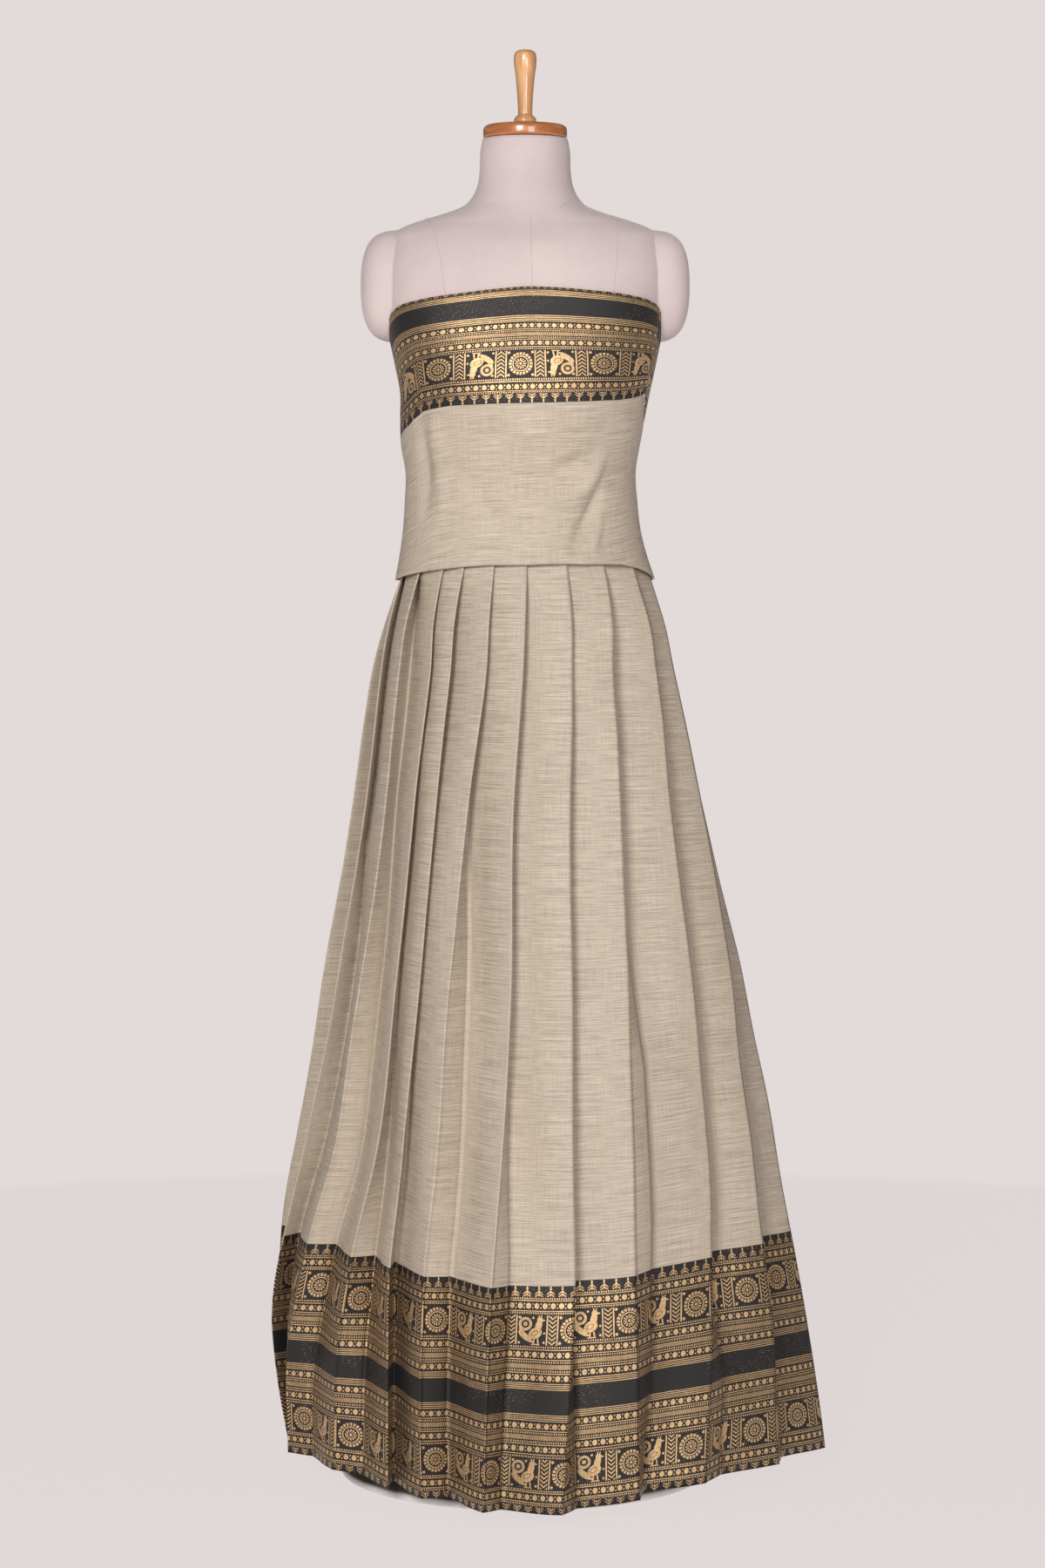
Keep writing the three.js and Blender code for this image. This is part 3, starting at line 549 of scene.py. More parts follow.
def fold_depth(angle, height):
    place = np.stack([np.radians(signed_angle(angle)) * FOLD_RADIUS, height], -1)
    total = np.zeros(np.broadcast(angle, height).shape)
    for from_angle, from_height, to_angle, to_height, depth, half_width in BODICE_FOLDS:
        start = np.array([math.radians(from_angle) * FOLD_RADIUS, from_height])
        run = np.array([math.radians(to_angle) * FOLD_RADIUS, to_height]) - start
        share = np.clip(((place - start) @ run) / (run @ run), 0, 1)
        distance = np.linalg.norm(place - (start + share[..., None] * run), axis=-1)
        total = total + depth * np.sin(np.pi * (0.1 + 0.8 * share)) * np.exp(-((distance / half_width) ** 2))
    return total


print(len(BODICE_FOLDS), "soft folds, the deepest", max(fold[4] for fold in BODICE_FOLDS), "mm")

# %% Bodice cloth
def make_bodice():
    share = np.linspace(0, 1, BODICE_ROWS)[:, None]
    run = np.linspace(0, 1, BODICE_COLUMNS)[None, :]
    end = WRAP_END + WRAP_END_SLANT * (1 - smooth_step(share, SLANT_FROM, SLANT_TO))
    angle = WRAP_START + (end - WRAP_START) * run
    signed = signed_angle(angle)
    side = np.abs(signed)
    drop = np.interp(angle, EDGE_DROP[:, 0], EDGE_DROP[:, 1])
    top = read_table(BODICE_EDGES, 1, side) - drop
    lift = np.interp(signed, EDGE_LIFT[:, 0], EDGE_LIFT[:, 1])
    bottom = read_table(BODICE_EDGES, 2, side) + lift
    height = bottom + (top - bottom) * share
    under = (1 - smooth_step(angle, RAMP_FROM, RAMP_TO)) * LAYER
    folded = (angle > FOLDS_FROM) * (1 - smooth_step(angle, FOLDS_FADE, FOLDS_END))
    inset = under + fold_depth(angle, height) * folded
    points = bodice_points(angle, height, inset)
    across = PATTERN_START - np.radians(angle) * PATTERN_RADIUS
    line = np.interp(angle, BORDER_LINE[:, 0], BORDER_LINE[:, 1])
    in_front = 1 - smooth_step(side, BUST_SIDE, BUST_END)
    stretch = 1 + in_front * (BUST_BORDER / (top - line) - 1)
    above = (height - line) * np.where(height > line, stretch, 1)
    down = np.where(above > 0, np.interp(above, BORDER_STRETCH[:, 0], BORDER_STRETCH[:, 1]), above)
    place = np.stack([across, down], -1)
    return grid_piece("bodice_cloth", points, False, place, BODICE_THICKNESS)


bodice = make_bodice()
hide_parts("bodice_wrap")
print("bodice has", len(bodice.data.polygons), "faces")

# %% [markdown]
# The form is a padded torso with a smooth knitted cover, with a round pad at
# each armhole. Lofting rings again gives a smooth body with far more points than
# its plain solid has.

# %% Form body
TORSO_SECTIONS = np.array([
    # height, half width, front, back, shape
    [800, 130, 86, 88, 2.1],
    [812, 135, 90, 93, 2.1],
    [880, 137, 92, 94, 2.1],
    [940, 132, 89, 86, 2.1],
    [985, 127, 85, 79, 2.1],
    [1020, 126.5, 84.5, 78, 2.1],
    [1058, 120.85, 84.85, 76.85, 2.1],
    [1090, 119.85, 85.85, 78.35, 2.1],
    [1130, 119.85, 91.85, 79.35, 2.1],
    [1165, 122.85, 99.85, 80.85, 2.15],
    [1205, 132.35, 108.85, 84.35, 2.2],
    [1240, 140.15, 113.35, 87.35, 2.25],
    [1275, 146.6, 110.35, 89.35, 2.42],
    [1315, 153.9, 101.35, 88.85, 2.72],
    [1355, 157.4, 94.35, 86.05, 2.85],
    [1385, 157.5, 88, 82, 2.8],
    [1408, 155, 79, 76, 2.45],
    [1421, 150, 70, 69, 2.2],
    [1429, 137, 64.5, 63.5, 2],
    [1436, 117, 60.5, 59.5, 2],
    [1443, 93, 57.5, 56.5, 2],
    [1451, 72, 55, 54, 2],
    [1460, 62, 53.5, 52, 2],
    [1472, 55.5, 52, 50.5, 2],
    [1490, 52, 50.5, 49.5, 2],
    [1515, 51, 49.5, 49, 2],
    [1527.7, 48.5, 47.5, 47, 2],
])
TORSO_HEIGHTS = np.concatenate([
    np.linspace(800, 1400, 70), np.linspace(1404, 1475, 40), np.linspace(1478, 1527.7, 14),
])


def torso_points(height, angle):
    half, front, back, shape = (read_table(TORSO_SECTIONS, column, height) for column in range(1, 5))
    x, y = plan_point(angle, half, half, front, back, 0, shape, shape)
    return np.stack([x, y, np.broadcast_to(height, x.shape)], -1)


def close_ends(piece, rows, columns):
    """Flat faces over the first and last ring of a closed grid."""
    mesh = piece.data
    points = [v.co.copy() for v in mesh.vertices]
    faces = [list(p.vertices) for p in mesh.polygons]
    faces.append(list(range(columns))[::-1])
    faces.append([(rows - 1) * columns + c for c in range(columns)])
    mesh.clear_geometry()
    mesh.from_pydata(points, [], faces)
    mesh.polygons.foreach_set("use_smooth", [True] * (len(faces) - 2) + [False, False])


torso_grid = torso_points(TORSO_HEIGHTS[:, None], np.arange(0, 360, 3.0)[None, :])
torso = grid_piece("form_body", torso_grid, True)
close_ends(torso, *torso_grid.shape[:2])
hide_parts("form_torso")
print("form body has", len(torso.data.polygons), "faces")

# %% [markdown]
# A stuffed, cloth covered pad closes each armhole. A flattened ball would do, but
# a real one is fuller towards its rim, so rings of a squared circle shrink
# towards its outer end.

# %% Arm pads
PAD_INNER, PAD_OUTER, PAD_MIDDLE = 118, 187.5, 1361
PAD_HEIGHT, PAD_DEPTH, PAD_SHAPE = 64, 47, 2.5
PAD_SQUARENESS, PAD_TIP = 2.3, 0.04
PAD_RINGS, PAD_SIDES = 26, 56


def pad_outline(steps):
    """Across and up, at equal steps round the squared circle."""
    turn = np.linspace(0, 2 * math.pi, steps, endpoint=False)
    across, up = np.cos(turn), np.sin(turn)
    power = 2 / PAD_SQUARENESS
    return np.sign(across) * np.abs(across) ** power, np.sign(up) * np.abs(up) ** power


def arm_pad(name, side, node):
    share = np.sin(np.linspace(0, 1, PAD_RINGS) * math.pi / 2)[:, None]
    scale = np.maximum(PAD_TIP, (1 - share ** (2 * PAD_SHAPE)) ** (1 / PAD_SHAPE))
    depth, rise = pad_outline(PAD_SIDES)
    x = side * (PAD_INNER + share * (PAD_OUTER - PAD_INNER))
    y = side * PAD_DEPTH * scale * depth
    z = PAD_MIDDLE + PAD_HEIGHT * scale * rise
    pad = grid_piece(name, np.stack([np.broadcast_to(x, y.shape), y, z], -1), True)
    close_ends(pad, PAD_RINGS, PAD_SIDES)
    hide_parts(node)
    return pad


pads = [arm_pad("arm_pad_right", -1, "form_arm_cap_right"), arm_pad("arm_pad_left", 1, "form_arm_cap_left")]
print("arm pads", [len(pad.data.polygons) for pad in pads])

# %% [markdown]
# Turned wood is a profile spun round an axis, and so are the round plate and the
# pole. The wide ones take 96 steps, so that no flat shows on the polished edge,
# and the thin pole takes 48.

# %% Turned pieces
def lathe_piece(name, node, profile, steps=96):
    turns = np.linspace(0, 2 * math.pi, steps, endpoint=False)
    inner = np.array(profile[1:-1], float)
    points = np.empty((len(inner), steps, 3))
    points[..., 0] = inner[:, :1] * np.sin(turns)
    points[..., 1] = -inner[:, :1] * np.cos(turns)
    points[..., 2] = inner[:, 1:]
    piece = grid_piece(name, points, True)
    close_ends(piece, len(inner), steps)
    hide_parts(node)
    return piece


CORNER_CUT = 0.15


def rounded(profile, passes=2):
    """Cuts the corners of a profile, so that its edges catch the light."""
    points = np.array(profile, float)
    for _ in range(passes):
        first, last = points[:-1], points[1:]
        near, far = first + CORNER_CUT * (last - first), last + CORNER_CUT * (first - last)
        points = np.vstack([points[:1], np.stack([near, far], 1).reshape(-1, 2), points[-1:]])
    return [tuple(p) for p in points]


CAP_RADIUS, CAP_BOTTOM, CAP_TOP = 47.7, 1528, 1543.7
BALL_RADIUS, BALL_BOTTOM, FINIAL_TOP = 12.9, 1544, 1629

neck_cap = lathe_piece("turned_neck_cap", "neck_cap", rounded([
    (0, CAP_BOTTOM), (CAP_RADIUS - 2.4, CAP_BOTTOM), (CAP_RADIUS - 0.5, CAP_BOTTOM + 1.2),
    (CAP_RADIUS, CAP_BOTTOM + 3.2), (CAP_RADIUS, CAP_TOP - 5.4), (CAP_RADIUS - 0.9, CAP_TOP - 2.6),
    (CAP_RADIUS - 3.4, CAP_TOP - 0.7), (CAP_RADIUS - 9, CAP_TOP), (0, CAP_TOP),
]))
finial = lathe_piece("turned_finial", "finial", rounded([
    (0, BALL_BOTTOM), (9.6, BALL_BOTTOM), (BALL_RADIUS - 0.7, BALL_BOTTOM + 2.4),
    (BALL_RADIUS, BALL_BOTTOM + 5), (BALL_RADIUS - 0.9, BALL_BOTTOM + 8), (9.2, BALL_BOTTOM + 10.6),
    (8, BALL_BOTTOM + 12), (8.2, BALL_BOTTOM + 18), (9, BALL_BOTTOM + 35), (10.8, BALL_BOTTOM + 55),
    (12.6, FINIAL_TOP - 19), (13.05, FINIAL_TOP - 11), (12.4, FINIAL_TOP - 5), (10.4, FINIAL_TOP - 2),
    (6.5, FINIAL_TOP - 0.4), (0, FINIAL_TOP),
]))
base = lathe_piece("round_plate", "stand_base", rounded([
    (0, 0), (211, 0), (213, 2), (213, 6), (212, 8), (209.5, 9), (0, 9),
], 1))
pole = lathe_piece("stand_tube", "stand_pole", [
    (0, 9.3), (26, 9.3), (26, 13), (24, 14.5), (14, 27.3), (14, 795.7),
    (33, 795.7), (34, 796.7), (34, 799.7), (0, 799.7),
], 48)
print("turned pieces:", neck_cap.name, finial.name, base.name, pole.name)

# %% [markdown]
# The cover of the form is sewn from panels. A seam shows as a fine raised line,
# so each one is a thin tube laid half into the surface. The places are given
# across and up, and the form's own outline says how far forward they lie.

# %% Seams of the form
SEAM_RADIUS, PIPING_RADIUS = 0.42, 0.8
SEAM_STEPS, PIPING_STEPS = 40, 60
SEAM_LIFT, PIPING_LIFT, PIPING_INSET = 0.1, 0.4, 0.7


def form_front(x, height, back=False):
    half, front, rear, shape = (read_table(TORSO_SECTIONS, column, height) for column in range(1, 5))
    depth = rear if back else -front
    return depth * np.maximum(0, 1 - np.abs(x / half) ** shape) ** (1 / shape)


def tube(name, points, radius, closed=False):
    curve = bpy.data.curves.new(name, "CURVE")
    curve.dimensions = "3D"
    curve.bevel_depth = 1
    curve.bevel_resolution = 2
    spline = curve.splines.new("POLY")
    spline.points.add(len(points) - 1)
    for point, place in zip(spline.points, points):
        point.co = (*(np.array(place) * MM), 1)
        point.radius = radius * MM
    spline.use_cyclic_u = closed
    piece = new_object(name, curve)
    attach(piece, "root")
    return piece


def seam(name, places, back=False):
    places = np.array(places, float)
    run = np.linspace(0, len(places) - 1, SEAM_STEPS)
    x = np.interp(run, np.arange(len(places)), places[:, 0])
    z = np.interp(run, np.arange(len(places)), places[:, 1])
    sign = 1 if back else -1
    y = form_front(x, z, back) + sign * SEAM_LIFT
    return tube(name, np.column_stack([x, y, z]), SEAM_RADIUS)


FORM_SEAMS = {
    "seam_princess_right": [(-113, 1440), (-102, 1417), (-95, 1388), (-90, 1350), (-88, 1330)],
    "seam_princess_left": [(99, 1442), (104, 1420), (103, 1385), (99, 1350), (98, 1330)],
    "seam_neck_front": [(-52, 1456), (-32, 1445), (5, 1436), (38, 1444), (52, 1457)],
    "seam_centre_front": [(6, 1436), (7, 1400), (8, 1345)],
}
seams = [seam(name, places) for name, places in FORM_SEAMS.items()]
seams += [
    seam("seam_centre_back", [(0, 1520), (0, 1440), (0, 1320)], back=True),
    seam("seam_neck_back", [(-52, 1458), (-25, 1450), (0, 1448), (25, 1450), (52, 1458)], back=True),
]


def armhole_seam(name, side):
    depth, rise = pad_outline(PIPING_STEPS)
    y = (PAD_DEPTH - PIPING_INSET) * depth
    z = PAD_MIDDLE + (PAD_HEIGHT - PIPING_INSET) * rise
    half, reach, shape = (read_table(TORSO_SECTIONS, column, z) for column in (1, 2, 4))
    x = half * np.maximum(0.02, 1 - np.abs(y / reach) ** shape) ** (1 / shape)
    x = np.maximum(x, PAD_INNER) + PIPING_LIFT
    return tube(name, np.column_stack([side * x, y, z]), PIPING_RADIUS, True)


seams += [armhole_seam("piping_armhole_right", -1), armhole_seam("piping_armhole_left", 1)]
print(len(seams), "seams and pipings")

# %% [markdown]
# Woven patterns are drawn with arithmetic: a row of dots is the place along the
# cloth, cut into equal cells, so that it stays sharp however near it is seen. A
# small helper turns ordinary sums into nodes, and a pattern reads like a formula.

# %% Sums that make nodes
class Sum:
    """A number that varies over the surface, made by one node of a material."""

    def __init__(self, tree, socket):
        self.tree, self.socket = tree, socket

    def step(self, operation, *others, clamp=False):
        node = self.tree.nodes.new("ShaderNodeMath")
        node.operation = operation
        node.use_clamp = clamp
        for number, value in enumerate((self, *others)):
            if isinstance(value, Sum):
                self.tree.links.new(value.socket, node.inputs[number])
            else:
                node.inputs[number].default_value = value
        return Sum(self.tree, node.outputs[0])

    def __add__(self, other):
        return self.step("ADD", other)

    def __sub__(self, other):
        return self.step("SUBTRACT", other)

    def __mul__(self, other):
        return self.step("MULTIPLY", other)

    def scaled(self, factor, shift):
        return self.step("MULTIPLY_ADD", factor, shift)

    def below(self, other):
        return self.step("LESS_THAN", other)

    def above(self, other):
        return self.step("GREATER_THAN", other)

    def near(self, middle, half):
        return self.step("COMPARE", middle, half)

    def size(self):
        return self.step("ABSOLUTE")

    def either(self, other):
        return self.step("MAXIMUM", other)

    def both(self, other):
        return self.step("MINIMUM", other)

    def cell(self, pitch, shift=0.0):
        """Place within one of many equal cells, from minus to plus half of it."""
        return self.scaled(1 / pitch, shift).step("FRACT").scaled(pitch, -pitch / 2)


def disc(x, y, centre_x, centre_y, radius_x, radius_y=None, turn=0.0):
    """One inside an oval. turn is in degrees, and the oval may be a circle."""
    radius_y = radius_y or radius_x
    across, up = x - centre_x, y - centre_y
    if turn:
        cosine, sine = math.cos(math.radians(turn)), math.sin(math.radians(turn))
        across, up = across * cosine + up * sine, up * cosine - across * sine
    across, up = across * (1 / radius_x), up * (1 / radius_y)
    return (across * across + up * up).below(1.0)


def any_of(first, *others):
    for other in others:
        first = first.either(other)
    return first


print("sums ready")

# %% [markdown]
# Every finish is made from the same few nodes: noise for what is uneven, a blend
# of two colours, and a bump. One helper for each keeps a finish short to read.

# %% Nodes that every finish uses
def new_material(name):
    material = bpy.data.materials.new(name)
    material.use_nodes = True
    return material, material.node_tree, material.node_tree.nodes["Principled BSDF"]


def set_inputs(node, values):
    for name, value in values.items():
        node.inputs[name].default_value = value


def add_noise(tree, vector, scale, detail, roughness, stretch=(1, 1, 1)):
    mapping = tree.nodes.new("ShaderNodeMapping")
    set_inputs(mapping, {"Scale": stretch})
    tree.links.new(vector, mapping.inputs["Vector"])
    noise = tree.nodes.new("ShaderNodeTexNoise")
    set_inputs(noise, {"Scale": scale, "Detail": detail, "Roughness": roughness})
    tree.links.new(mapping.outputs["Vector"], noise.inputs["Vector"])
    return Sum(tree, noise.outputs["Fac"])


def mix_colour(tree, share, first, last):
    node = tree.nodes.new("ShaderNodeMix")
    node.data_type = "RGBA"
    tree.links.new(share.socket, node.inputs["Factor"])
    for name, value in (("A", first), ("B", last)):
        socket = next(s for s in node.inputs if s.name == name and s.type == "RGBA")
        if isinstance(value, tuple):
            socket.default_value = (*value, 1)
        else:
            tree.links.new(value, socket)
    return next(s for s in node.outputs if s.type == "RGBA")


def add_bump(tree, shader, height, distance, strength):
    bump = tree.nodes.new("ShaderNodeBump")
    set_inputs(bump, {"Distance": distance, "Strength": strength})
    tree.links.new(height.socket, bump.inputs["Height"])
    tree.links.new(bump.outputs["Normal"], shader.inputs["Normal"])


def put_on(material, *pieces):
    for piece in pieces:
        piece.data.materials.clear()
        piece.data.materials.append(material)
    print(material.name, "is on", [piece.name for piece in pieces])


print("node helpers ready")

# %% [markdown]
# The border is woven in gold thread on black. Its rows mirror each other about a
# plain black band: a row of little ferns, dots, lines, round beads, and a wide
# band with wheels, birds and columns of arrowheads. Every measure is in
# millimetres of cloth, from the line where the border begins.

# %% The woven border
BORDER_WIDTH = 253.3
BORDER_MIDDLE = 127
REPEAT = 92
FERN_PITCH, BEAD_PITCH, DOT_PITCH = REPEAT / 7, REPEAT / 10, REPEAT / 36
DOT_ROWS = (13.7, 29.4, 66.6, 83, 92.8)
LINE_ROWS = (16, 27.2, 69.4, 80.4, 95.4, 106.6, 108.7, 110.8, 112.9)
BEAD_ROWS = (21.6, 75, 100.6)
MOTIF_ROW, MOTIF_HALF = 48, 16.9
DOT_HALF, DOT_WIDTH, LINE_HALF = 0.95, 0.68, 0.46
HERRING_ROW, HERRING_HALF = 88, 2.6
FERN_ROW, FERN_HALF = 6.6, 4.9
WHEEL_HALF, BIRD_FROM = 16.6, 29.4
ARROW_PITCH, ARROW_HALF, COLUMN_EDGE = 4.6, 4.1, 5.9

# The bird, facing along the cloth: ovals as centre, two radii and a turn.
BIRD = (
    (4, 3.5, 7.8, 5.8, -28), (7.4, -4.5, 3.7, 7.6, 14), (8.8, -11.2, 3.4, 3.2, 0),
    (12.8, -10.9, 1.8, 0.9, 0), (7.6, -15.2, 0.8, 1.2, 0), (10.4, -15.5, 0.8, 1.2, 0),
    (2.6, 12.6, 0.9, 3.6, 8), (7.4, 12.2, 0.9, 3.8, -8), (4.6, 15.8, 5.2, 0.8, 0),
    (-7.2, 7.2, 9.4, 3.2, 38), (-10.4, 2.6, 6.6, 2.2, 62), (-4.4, 10.6, 7.4, 1.6, 24),
)
BIRD_DOTS = ((-13.6, -13.6, 1.5), (14.2, 3.2, 1.2), (14, 13.4, 1.4), (-13.8, 14.2, 1.3), (1.2, -13.4, 1.3))


def wheel(x, y):
    distance = (x * x + y * y).step("SQRT")
    turn = y.step("ARCTAN2", x)

    def rays(count):
        return turn.scaled(count / (2 * math.pi), count + 0.5).step("FRACT").scaled(1, -0.5).size()

    petals = distance.near(12.3, 1.7) * rays(20).below(0.34)
    ring = distance.near(9.0, 0.62)
    hub = distance.near(4.7, 1.9) * rays(12).below(0.27)
    corners = disc(x.size(), y.size(), 14, 13.9, 1.6)
    return any_of(petals, ring, hub, distance.below(1.6), corners)


def bird(x, y):
    shapes = [disc(x, y, *oval) for oval in BIRD]
    dots = [disc(x, y, *dot) for dot in BIRD_DOTS]
    curl_x, curl_y = x + 7.4, y + 6.6
    curl = (curl_x * curl_x + curl_y * curl_y).step("SQRT")
    plume = curl.near(5.9, 1.5).either(curl.below(2.4))
    detail = (y * 1.3 + x * 0.8).cell(2.6).size().below(0.22) * x.below(0.5)
    wing = disc(x, y, 3.2, 3.4, 4.6, 2.6, -28) - disc(x, y, 3.2, 3.4, 3.9, 2.0, -28)
    solid = any_of(*shapes, plume)
    return (solid * (detail.either(wing).scaled(-1, 1))).either(any_of(*dots))


def border_gold(across, down):
    """How much gold shows, and where the border lies, on a scale of 0 to 1."""
    rows = (down - BORDER_MIDDLE).size().scaled(-1, BORDER_MIDDLE)
    dot_x = across.cell(DOT_PITCH).size()
    bead_x = across.cell(BEAD_PITCH)
    dots = any_of(*[rows.near(row, DOT_HALF) for row in DOT_ROWS]) * dot_x.below(DOT_WIDTH)
    lines = any_of(*[rows.near(row, LINE_HALF) for row in LINE_ROWS])
    bead_y = (rows - BEAD_ROWS[0]).size()
    for row in BEAD_ROWS[1:]:
        bead_y = bead_y.both((rows - row).size())
    beads = disc(bead_x, bead_y, 0, 0, 2.8, 3.2)
    diamonds = disc(bead_x.size(), bead_y, 4.6, 2.1, 0.8, 0.9)
    herring = rows.near(HERRING_ROW, HERRING_HALF) * ((across.cell(3.3).size() + rows).cell(1.7).above(-0.1))

    fern_x = across.cell(FERN_PITCH).size()
    tip = rows - 1.6
    leaf = (rows - fern_x * 0.75).cell(3.1).above(0.1)
    ferns = rows.near(FERN_ROW, FERN_HALF) * (fern_x - tip * 0.6).below(0.0) * leaf
    ferns = ferns.either(fern_x.below(0.5) * rows.near(6, 4.6))
    ferns = ferns.either(disc(fern_x, rows, 0, 1.7, 1.0, 1.2))

    motif_x = across.cell(REPEAT)
    side = down.scaled(-1, BORDER_MIDDLE).step("SIGN")
    motif_y = (rows - MOTIF_ROW) * side
    column_x = (motif_x.size() - REPEAT / 4).size()
    arrow = (down + column_x * 0.9).cell(ARROW_PITCH).above(0.45)
    column = (column_x.below(ARROW_HALF) * arrow).either(column_x.near(COLUMN_EDGE, 0.8))
    bird_x = across.cell(REPEAT, 0.5)
    middle = motif_x.size()
    wheels = wheel(motif_x, motif_y) * middle.below(WHEEL_HALF)
    birds = bird(bird_x, motif_y) * middle.above(BIRD_FROM)
    motifs = any_of(wheels, birds, column) * motif_y.size().below(MOTIF_HALF - 0.6)

    in_border = down.near(BORDER_WIDTH / 2, BORDER_WIDTH / 2)
    gold = any_of(dots, lines, beads, diamonds, herring, ferns, motifs)
    return gold * in_border, in_border


print("one repeat of the border is", REPEAT, "mm long and", BORDER_WIDTH, "mm wide")

# %% [markdown]
# The plain part is silk-cotton with thick and thin threads, called slubs, lying
# along the cloth. Gold thread is flat metal strip: it glitters where a fold faces
# the light and looks brown where it turns away, which a metallic finish gives.

# %% Cloth material
BEIGE_LIGHT, BEIGE_DARK = (0.555, 0.478, 0.39), (0.29, 0.24, 0.183)
BLACK_THREAD = (0.012, 0.0105, 0.0115)
GOLD_LIGHT, GOLD_DARK = (0.68, 0.47, 0.25), (0.24, 0.14, 0.063)
# Threads to a metre, along the cloth and down it, the number of slow patches in a
# metre, and how many millimetres the pattern wanders with them.
SLUB, FINE_SLUB, WARP, FLECK = (17, 1050, 1), (70, 1900, 1), (1100, 26, 1), (420, 900, 1)
PATCHES, WANDER = 9.0, 1.2
METAL_SHARE = 0.74

cloth, cloth_tree, cloth_shader = new_material("zari_cloth")
cloth_uv = cloth_tree.nodes.new("ShaderNodeUVMap")
cloth_uv.uv_map = "cloth"
flat_place = cloth_uv.outputs["UV"]
parts = cloth_tree.nodes.new("ShaderNodeSeparateXYZ")
cloth_tree.links.new(flat_place, parts.inputs["Vector"])
slub = add_noise(cloth_tree, flat_place, 1.0, 2, 0.6, SLUB)
fine_slub = add_noise(cloth_tree, flat_place, 1.0, 2, 0.6, FINE_SLUB)
warp = add_noise(cloth_tree, flat_place, 1.0, 1, 0.5, WARP)
patch = add_noise(cloth_tree, flat_place, PATCHES, 2, 0.5)
wander = (patch - 0.5) * WANDER
across = Sum(cloth_tree, parts.outputs["X"]) * (1 / MM) + wander
down = Sum(cloth_tree, parts.outputs["Y"]) * (1 / MM) + wander * 0.5
gold, in_border = border_gold(across, down)

thread = slub * 0.55 + fine_slub * 0.3 + warp * 0.15
thread_tone = (thread - 0.38).step("MULTIPLY", 4.2, clamp=True)
beige = mix_colour(cloth_tree, thread_tone, BEIGE_DARK, BEIGE_LIGHT)
gold_tone = (fine_slub + warp * 0.6 - 0.45).step("MULTIPLY", 2.2, clamp=True)
gold_colour = mix_colour(cloth_tree, gold_tone, GOLD_DARK, GOLD_LIGHT)
fleck = add_noise(cloth_tree, flat_place, 1.0, 1, 0.5, FLECK).above(0.66)
fleck = fleck * patch.above(0.5) * in_border * 0.3
ground = mix_colour(cloth_tree, in_border, beige, BLACK_THREAD)
metal = gold.either(fleck)
colour = mix_colour(cloth_tree, metal, ground, gold_colour)
cloth_tree.links.new(colour, cloth_shader.inputs["Base Color"])
cloth_tree.links.new((metal * METAL_SHARE).socket, cloth_shader.inputs["Metallic"])
cloth_tree.links.new((gold * -0.08 + thread * 0.12 + 0.5).socket, cloth_shader.inputs["Roughness"])
set_inputs(cloth_shader, {"Sheen Weight": 0.03, "Sheen Roughness": 0.4, "Specular IOR Level": 0.35})
add_bump(cloth_tree, cloth_shader, thread, 0.0009, 0.5)
put_on(cloth, skirt, bodice)
print("it has", len(cloth_tree.nodes), "nodes")

# %% [markdown]
# The form's cover is a close, matt knit. It is a little darker and more violet
# where it has been handled, which slow noise over the whole body gives.

# %% Cover of the form
COVER_DARK, COVER_LIGHT = (0.455, 0.375, 0.38), (0.565, 0.485, 0.485)

cover, cover_tree, cover_shader = new_material("form_cloth")
cover_place = cover_tree.nodes.new("ShaderNodeTexCoord")
cover_patch = add_noise(cover_tree, cover_place.outputs["Object"], 9, 4, 0.6)
cover_grain = add_noise(cover_tree, cover_place.outputs["Object"], 900, 2, 0.6)
cover_tone = (cover_patch.scaled(1.6, -0.3) + cover_grain * 0.25).step("MULTIPLY", 1.0, clamp=True)
cover_colour = mix_colour(cover_tree, cover_tone, COVER_DARK, COVER_LIGHT)
cover_tree.links.new(cover_colour, cover_shader.inputs["Base Color"])
set_inputs(cover_shader, {"Roughness": 0.9, "Sheen Weight": 0.25, "Specular IOR Level": 0.2})
add_bump(cover_tree, cover_shader, cover_grain, 0.0006, 0.4)
put_on(cover, torso, *pads, *seams)

# %% [markdown]
# The neck cap is stained a warm red brown, the finial is left lighter, and both
# are varnished. Noise stretched along the wood and bent by a sine gives growth
# lines that follow the grain, and a thin coat gives the varnish its shine.

# %% Turned wood
def wood_material(name, light, dark, stretch):
    material, tree, shader = new_material(name)
    place = tree.nodes.new("ShaderNodeTexCoord").outputs["Object"]
    grain = add_noise(tree, place, 1, 5, 0.6, stretch)
    streak = (grain * 11).step("SINE").scaled(0.5, 0.5)
    tone = (streak * 0.7 + grain * 0.4).step("MULTIPLY", 1.0, clamp=True)
    tree.links.new(mix_colour(tree, tone, dark, light), shader.inputs["Base Color"])
    set_inputs(shader, {"Roughness": 0.32, "Coat Weight": 0.5, "Coat Roughness": 0.12})
    add_bump(tree, shader, streak, 0.0002, 0.25)
    return material


cap_wood = wood_material("turned_wood", (0.50, 0.20, 0.07), (0.30, 0.09, 0.025), (30, 30, 160))
finial_wood = wood_material("turned_wood_light", (0.64, 0.36, 0.17), (0.46, 0.22, 0.09), (130, 130, 12))
put_on(cap_wood, neck_cap)
put_on(finial_wood, finial)

# %% [markdown]
# The pin and the pole are bright steel and the plate is painted white. None has
# a pattern, so one helper gives each a colour that varies by a tenth, uneven
# shine and a very shallow grain.

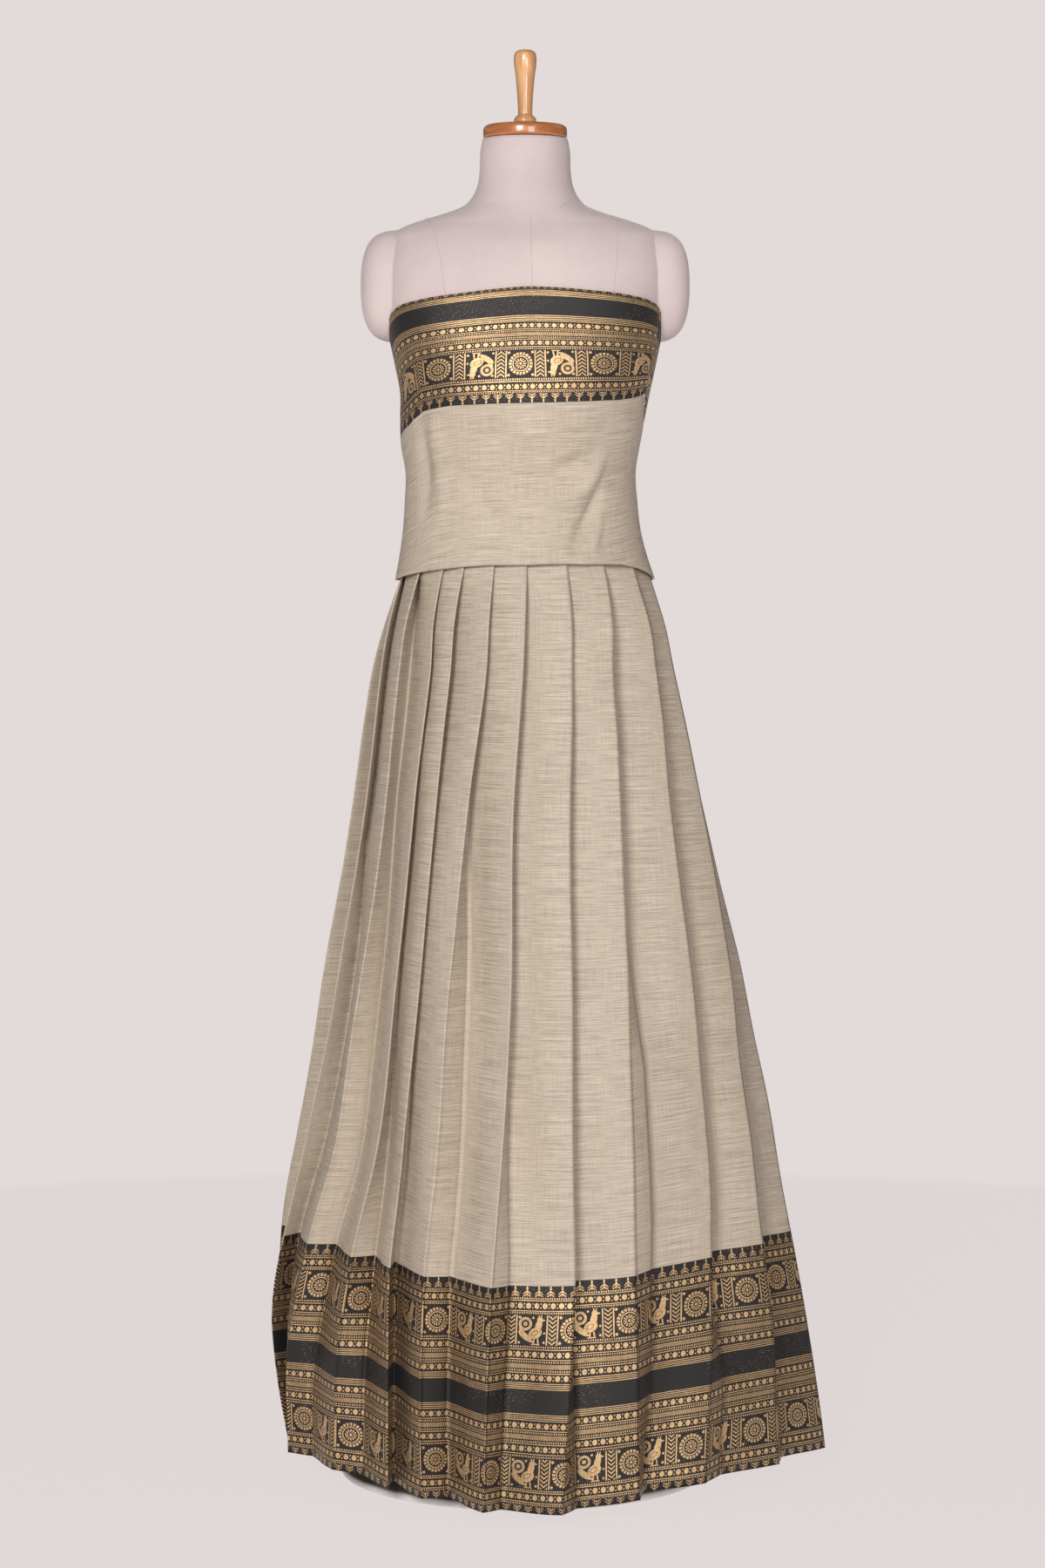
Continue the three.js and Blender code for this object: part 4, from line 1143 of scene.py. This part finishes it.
# %% Steel and paint
def plain_finish(name, colour, roughness, metallic, grain_scale, depth):
    material, tree, shader = new_material(name)
    place = tree.nodes.new("ShaderNodeTexCoord").outputs["Object"]
    grain = add_noise(tree, place, grain_scale, 3, 0.6)
    darker = tuple(0.9 * part for part in colour)
    tree.links.new(mix_colour(tree, grain, darker, colour), shader.inputs["Base Color"])
    tree.links.new(grain.scaled(0.12, roughness - 0.06).socket, shader.inputs["Roughness"])
    set_inputs(shader, {"Metallic": metallic})
    add_bump(tree, shader, grain, depth, 0.3)
    return material


pin_steel = plain_finish("pin_steel", (0.80, 0.79, 0.76), 0.22, 1.0, 900, 0.00005)
tube_steel = plain_finish("stand_steel", (0.62, 0.62, 0.62), 0.3, 1.0, 300, 0.0001)
white_paint = plain_finish("white_paint", (0.82, 0.81, 0.79), 0.45, 0.0, 260, 0.0002)
put_on(white_paint, base)
put_on(tube_steel, pole)
put_on(pin_steel, bpy.data.objects["side_pin"])

# %% [markdown]
# The studio is a pale floor that fades into a background of the same tone, so
# that no horizon shows. Real studios use a long roll of paper. Here the floor
# turns slowly into a surface that glows in the background's own colour.

# %% Floor and background
BACKGROUND = (0.765, 0.705, 0.69)
FLOOR = (0.80, 0.735, 0.715)
FLOOR_GLOW = 0.94
FLOOR_HALF = 30
FADE_LENGTH, FADE_START = 1.6, 0.45

floor_mesh = bpy.data.meshes.new("floor")
floor_corners = [(x * FLOOR_HALF, y * FLOOR_HALF, 0) for x, y in ((-1, -1), (1, -1), (1, 1), (-1, 1))]
floor_mesh.from_pydata(floor_corners, [], [(0, 1, 2, 3)])
floor = new_object("floor", floor_mesh)
floor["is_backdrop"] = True
paper, paper_tree, paper_shader = new_material("floor_paper")
set_inputs(paper_shader, {"Base Color": (*FLOOR, 1), "Roughness": 0.95, "Specular IOR Level": 0.1})
paper_place = paper_tree.nodes.new("ShaderNodeTexCoord").outputs["Object"]
length = paper_tree.nodes.new("ShaderNodeVectorMath")
length.operation = "LENGTH"
paper_tree.links.new(paper_place, length.inputs[0])
away = Sum(paper_tree, length.outputs["Value"]).scaled(1 / FADE_LENGTH, -FADE_START)
far = away.step("MINIMUM", 1.0).step("MAXIMUM", FLOOR_GLOW)
glow = paper_tree.nodes.new("ShaderNodeEmission")
set_inputs(glow, {"Color": (*BACKGROUND, 1)})
blend = paper_tree.nodes.new("ShaderNodeMixShader")
paper_tree.links.new(far.socket, blend.inputs["Fac"])
paper_tree.links.new(paper_shader.outputs["BSDF"], blend.inputs[1])
paper_tree.links.new(glow.outputs["Emission"], blend.inputs[2])
paper_out = paper_tree.nodes["Material Output"]
paper_tree.links.new(blend.outputs["Shader"], paper_out.inputs["Surface"])
put_on(paper, floor)

world = bpy.data.worlds.new("studio")
world.use_nodes = True
sky = world.node_tree.nodes["Background"]
set_inputs(sky, {"Color": (*BACKGROUND, 1)})
path = world.node_tree.nodes.new("ShaderNodeLightPath")
strength = Sum(world.node_tree, path.outputs["Is Camera Ray"]).scaled(0.8, 0.2)
world.node_tree.links.new(strength.socket, sky.inputs["Strength"])
bpy.context.scene.world = world
print("floor", 2 * FLOOR_HALF, "m wide")

# %% [markdown]
# Two large soft lights stand in front, the stronger one on the left. Small lamps
# would draw a hard shadow behind each pleat, and wide panels let it fall gently.

# %% Lights
LIGHT_TINT = (1, 0.97, 0.94)


def area_light(name, place, aim, size, power):
    data = bpy.data.lights.new(name, "AREA")
    data.shape = "RECTANGLE"
    data.size, data.size_y = size
    data.energy = power
    data.color = LIGHT_TINT
    light = new_object(name, data)
    light.location = place
    light.rotation_euler = (Vector(aim) - Vector(place)).to_track_quat("-Z", "Y").to_euler()


area_light("key", (-1.3, -4.9, 2.7), (0, 0, 0.9), (1.3, 1.3), 210)
area_light("fill", (1.5, -5.0, 1.7), (0, 0, 0.8), (1.5, 1.5), 92)
bpy.context.scene.view_settings.view_transform = "Standard"
print("studio ready")

# %% [markdown]
# The box round the finished pieces is printed; it should differ from the box round the solids by millimetres
# only.

# %% Size of the dressed form
visual_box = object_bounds()
low, high = ([round(v, 3) for v in corner] for corner in visual_box)
print("dressed form reaches from", low, "to", high)
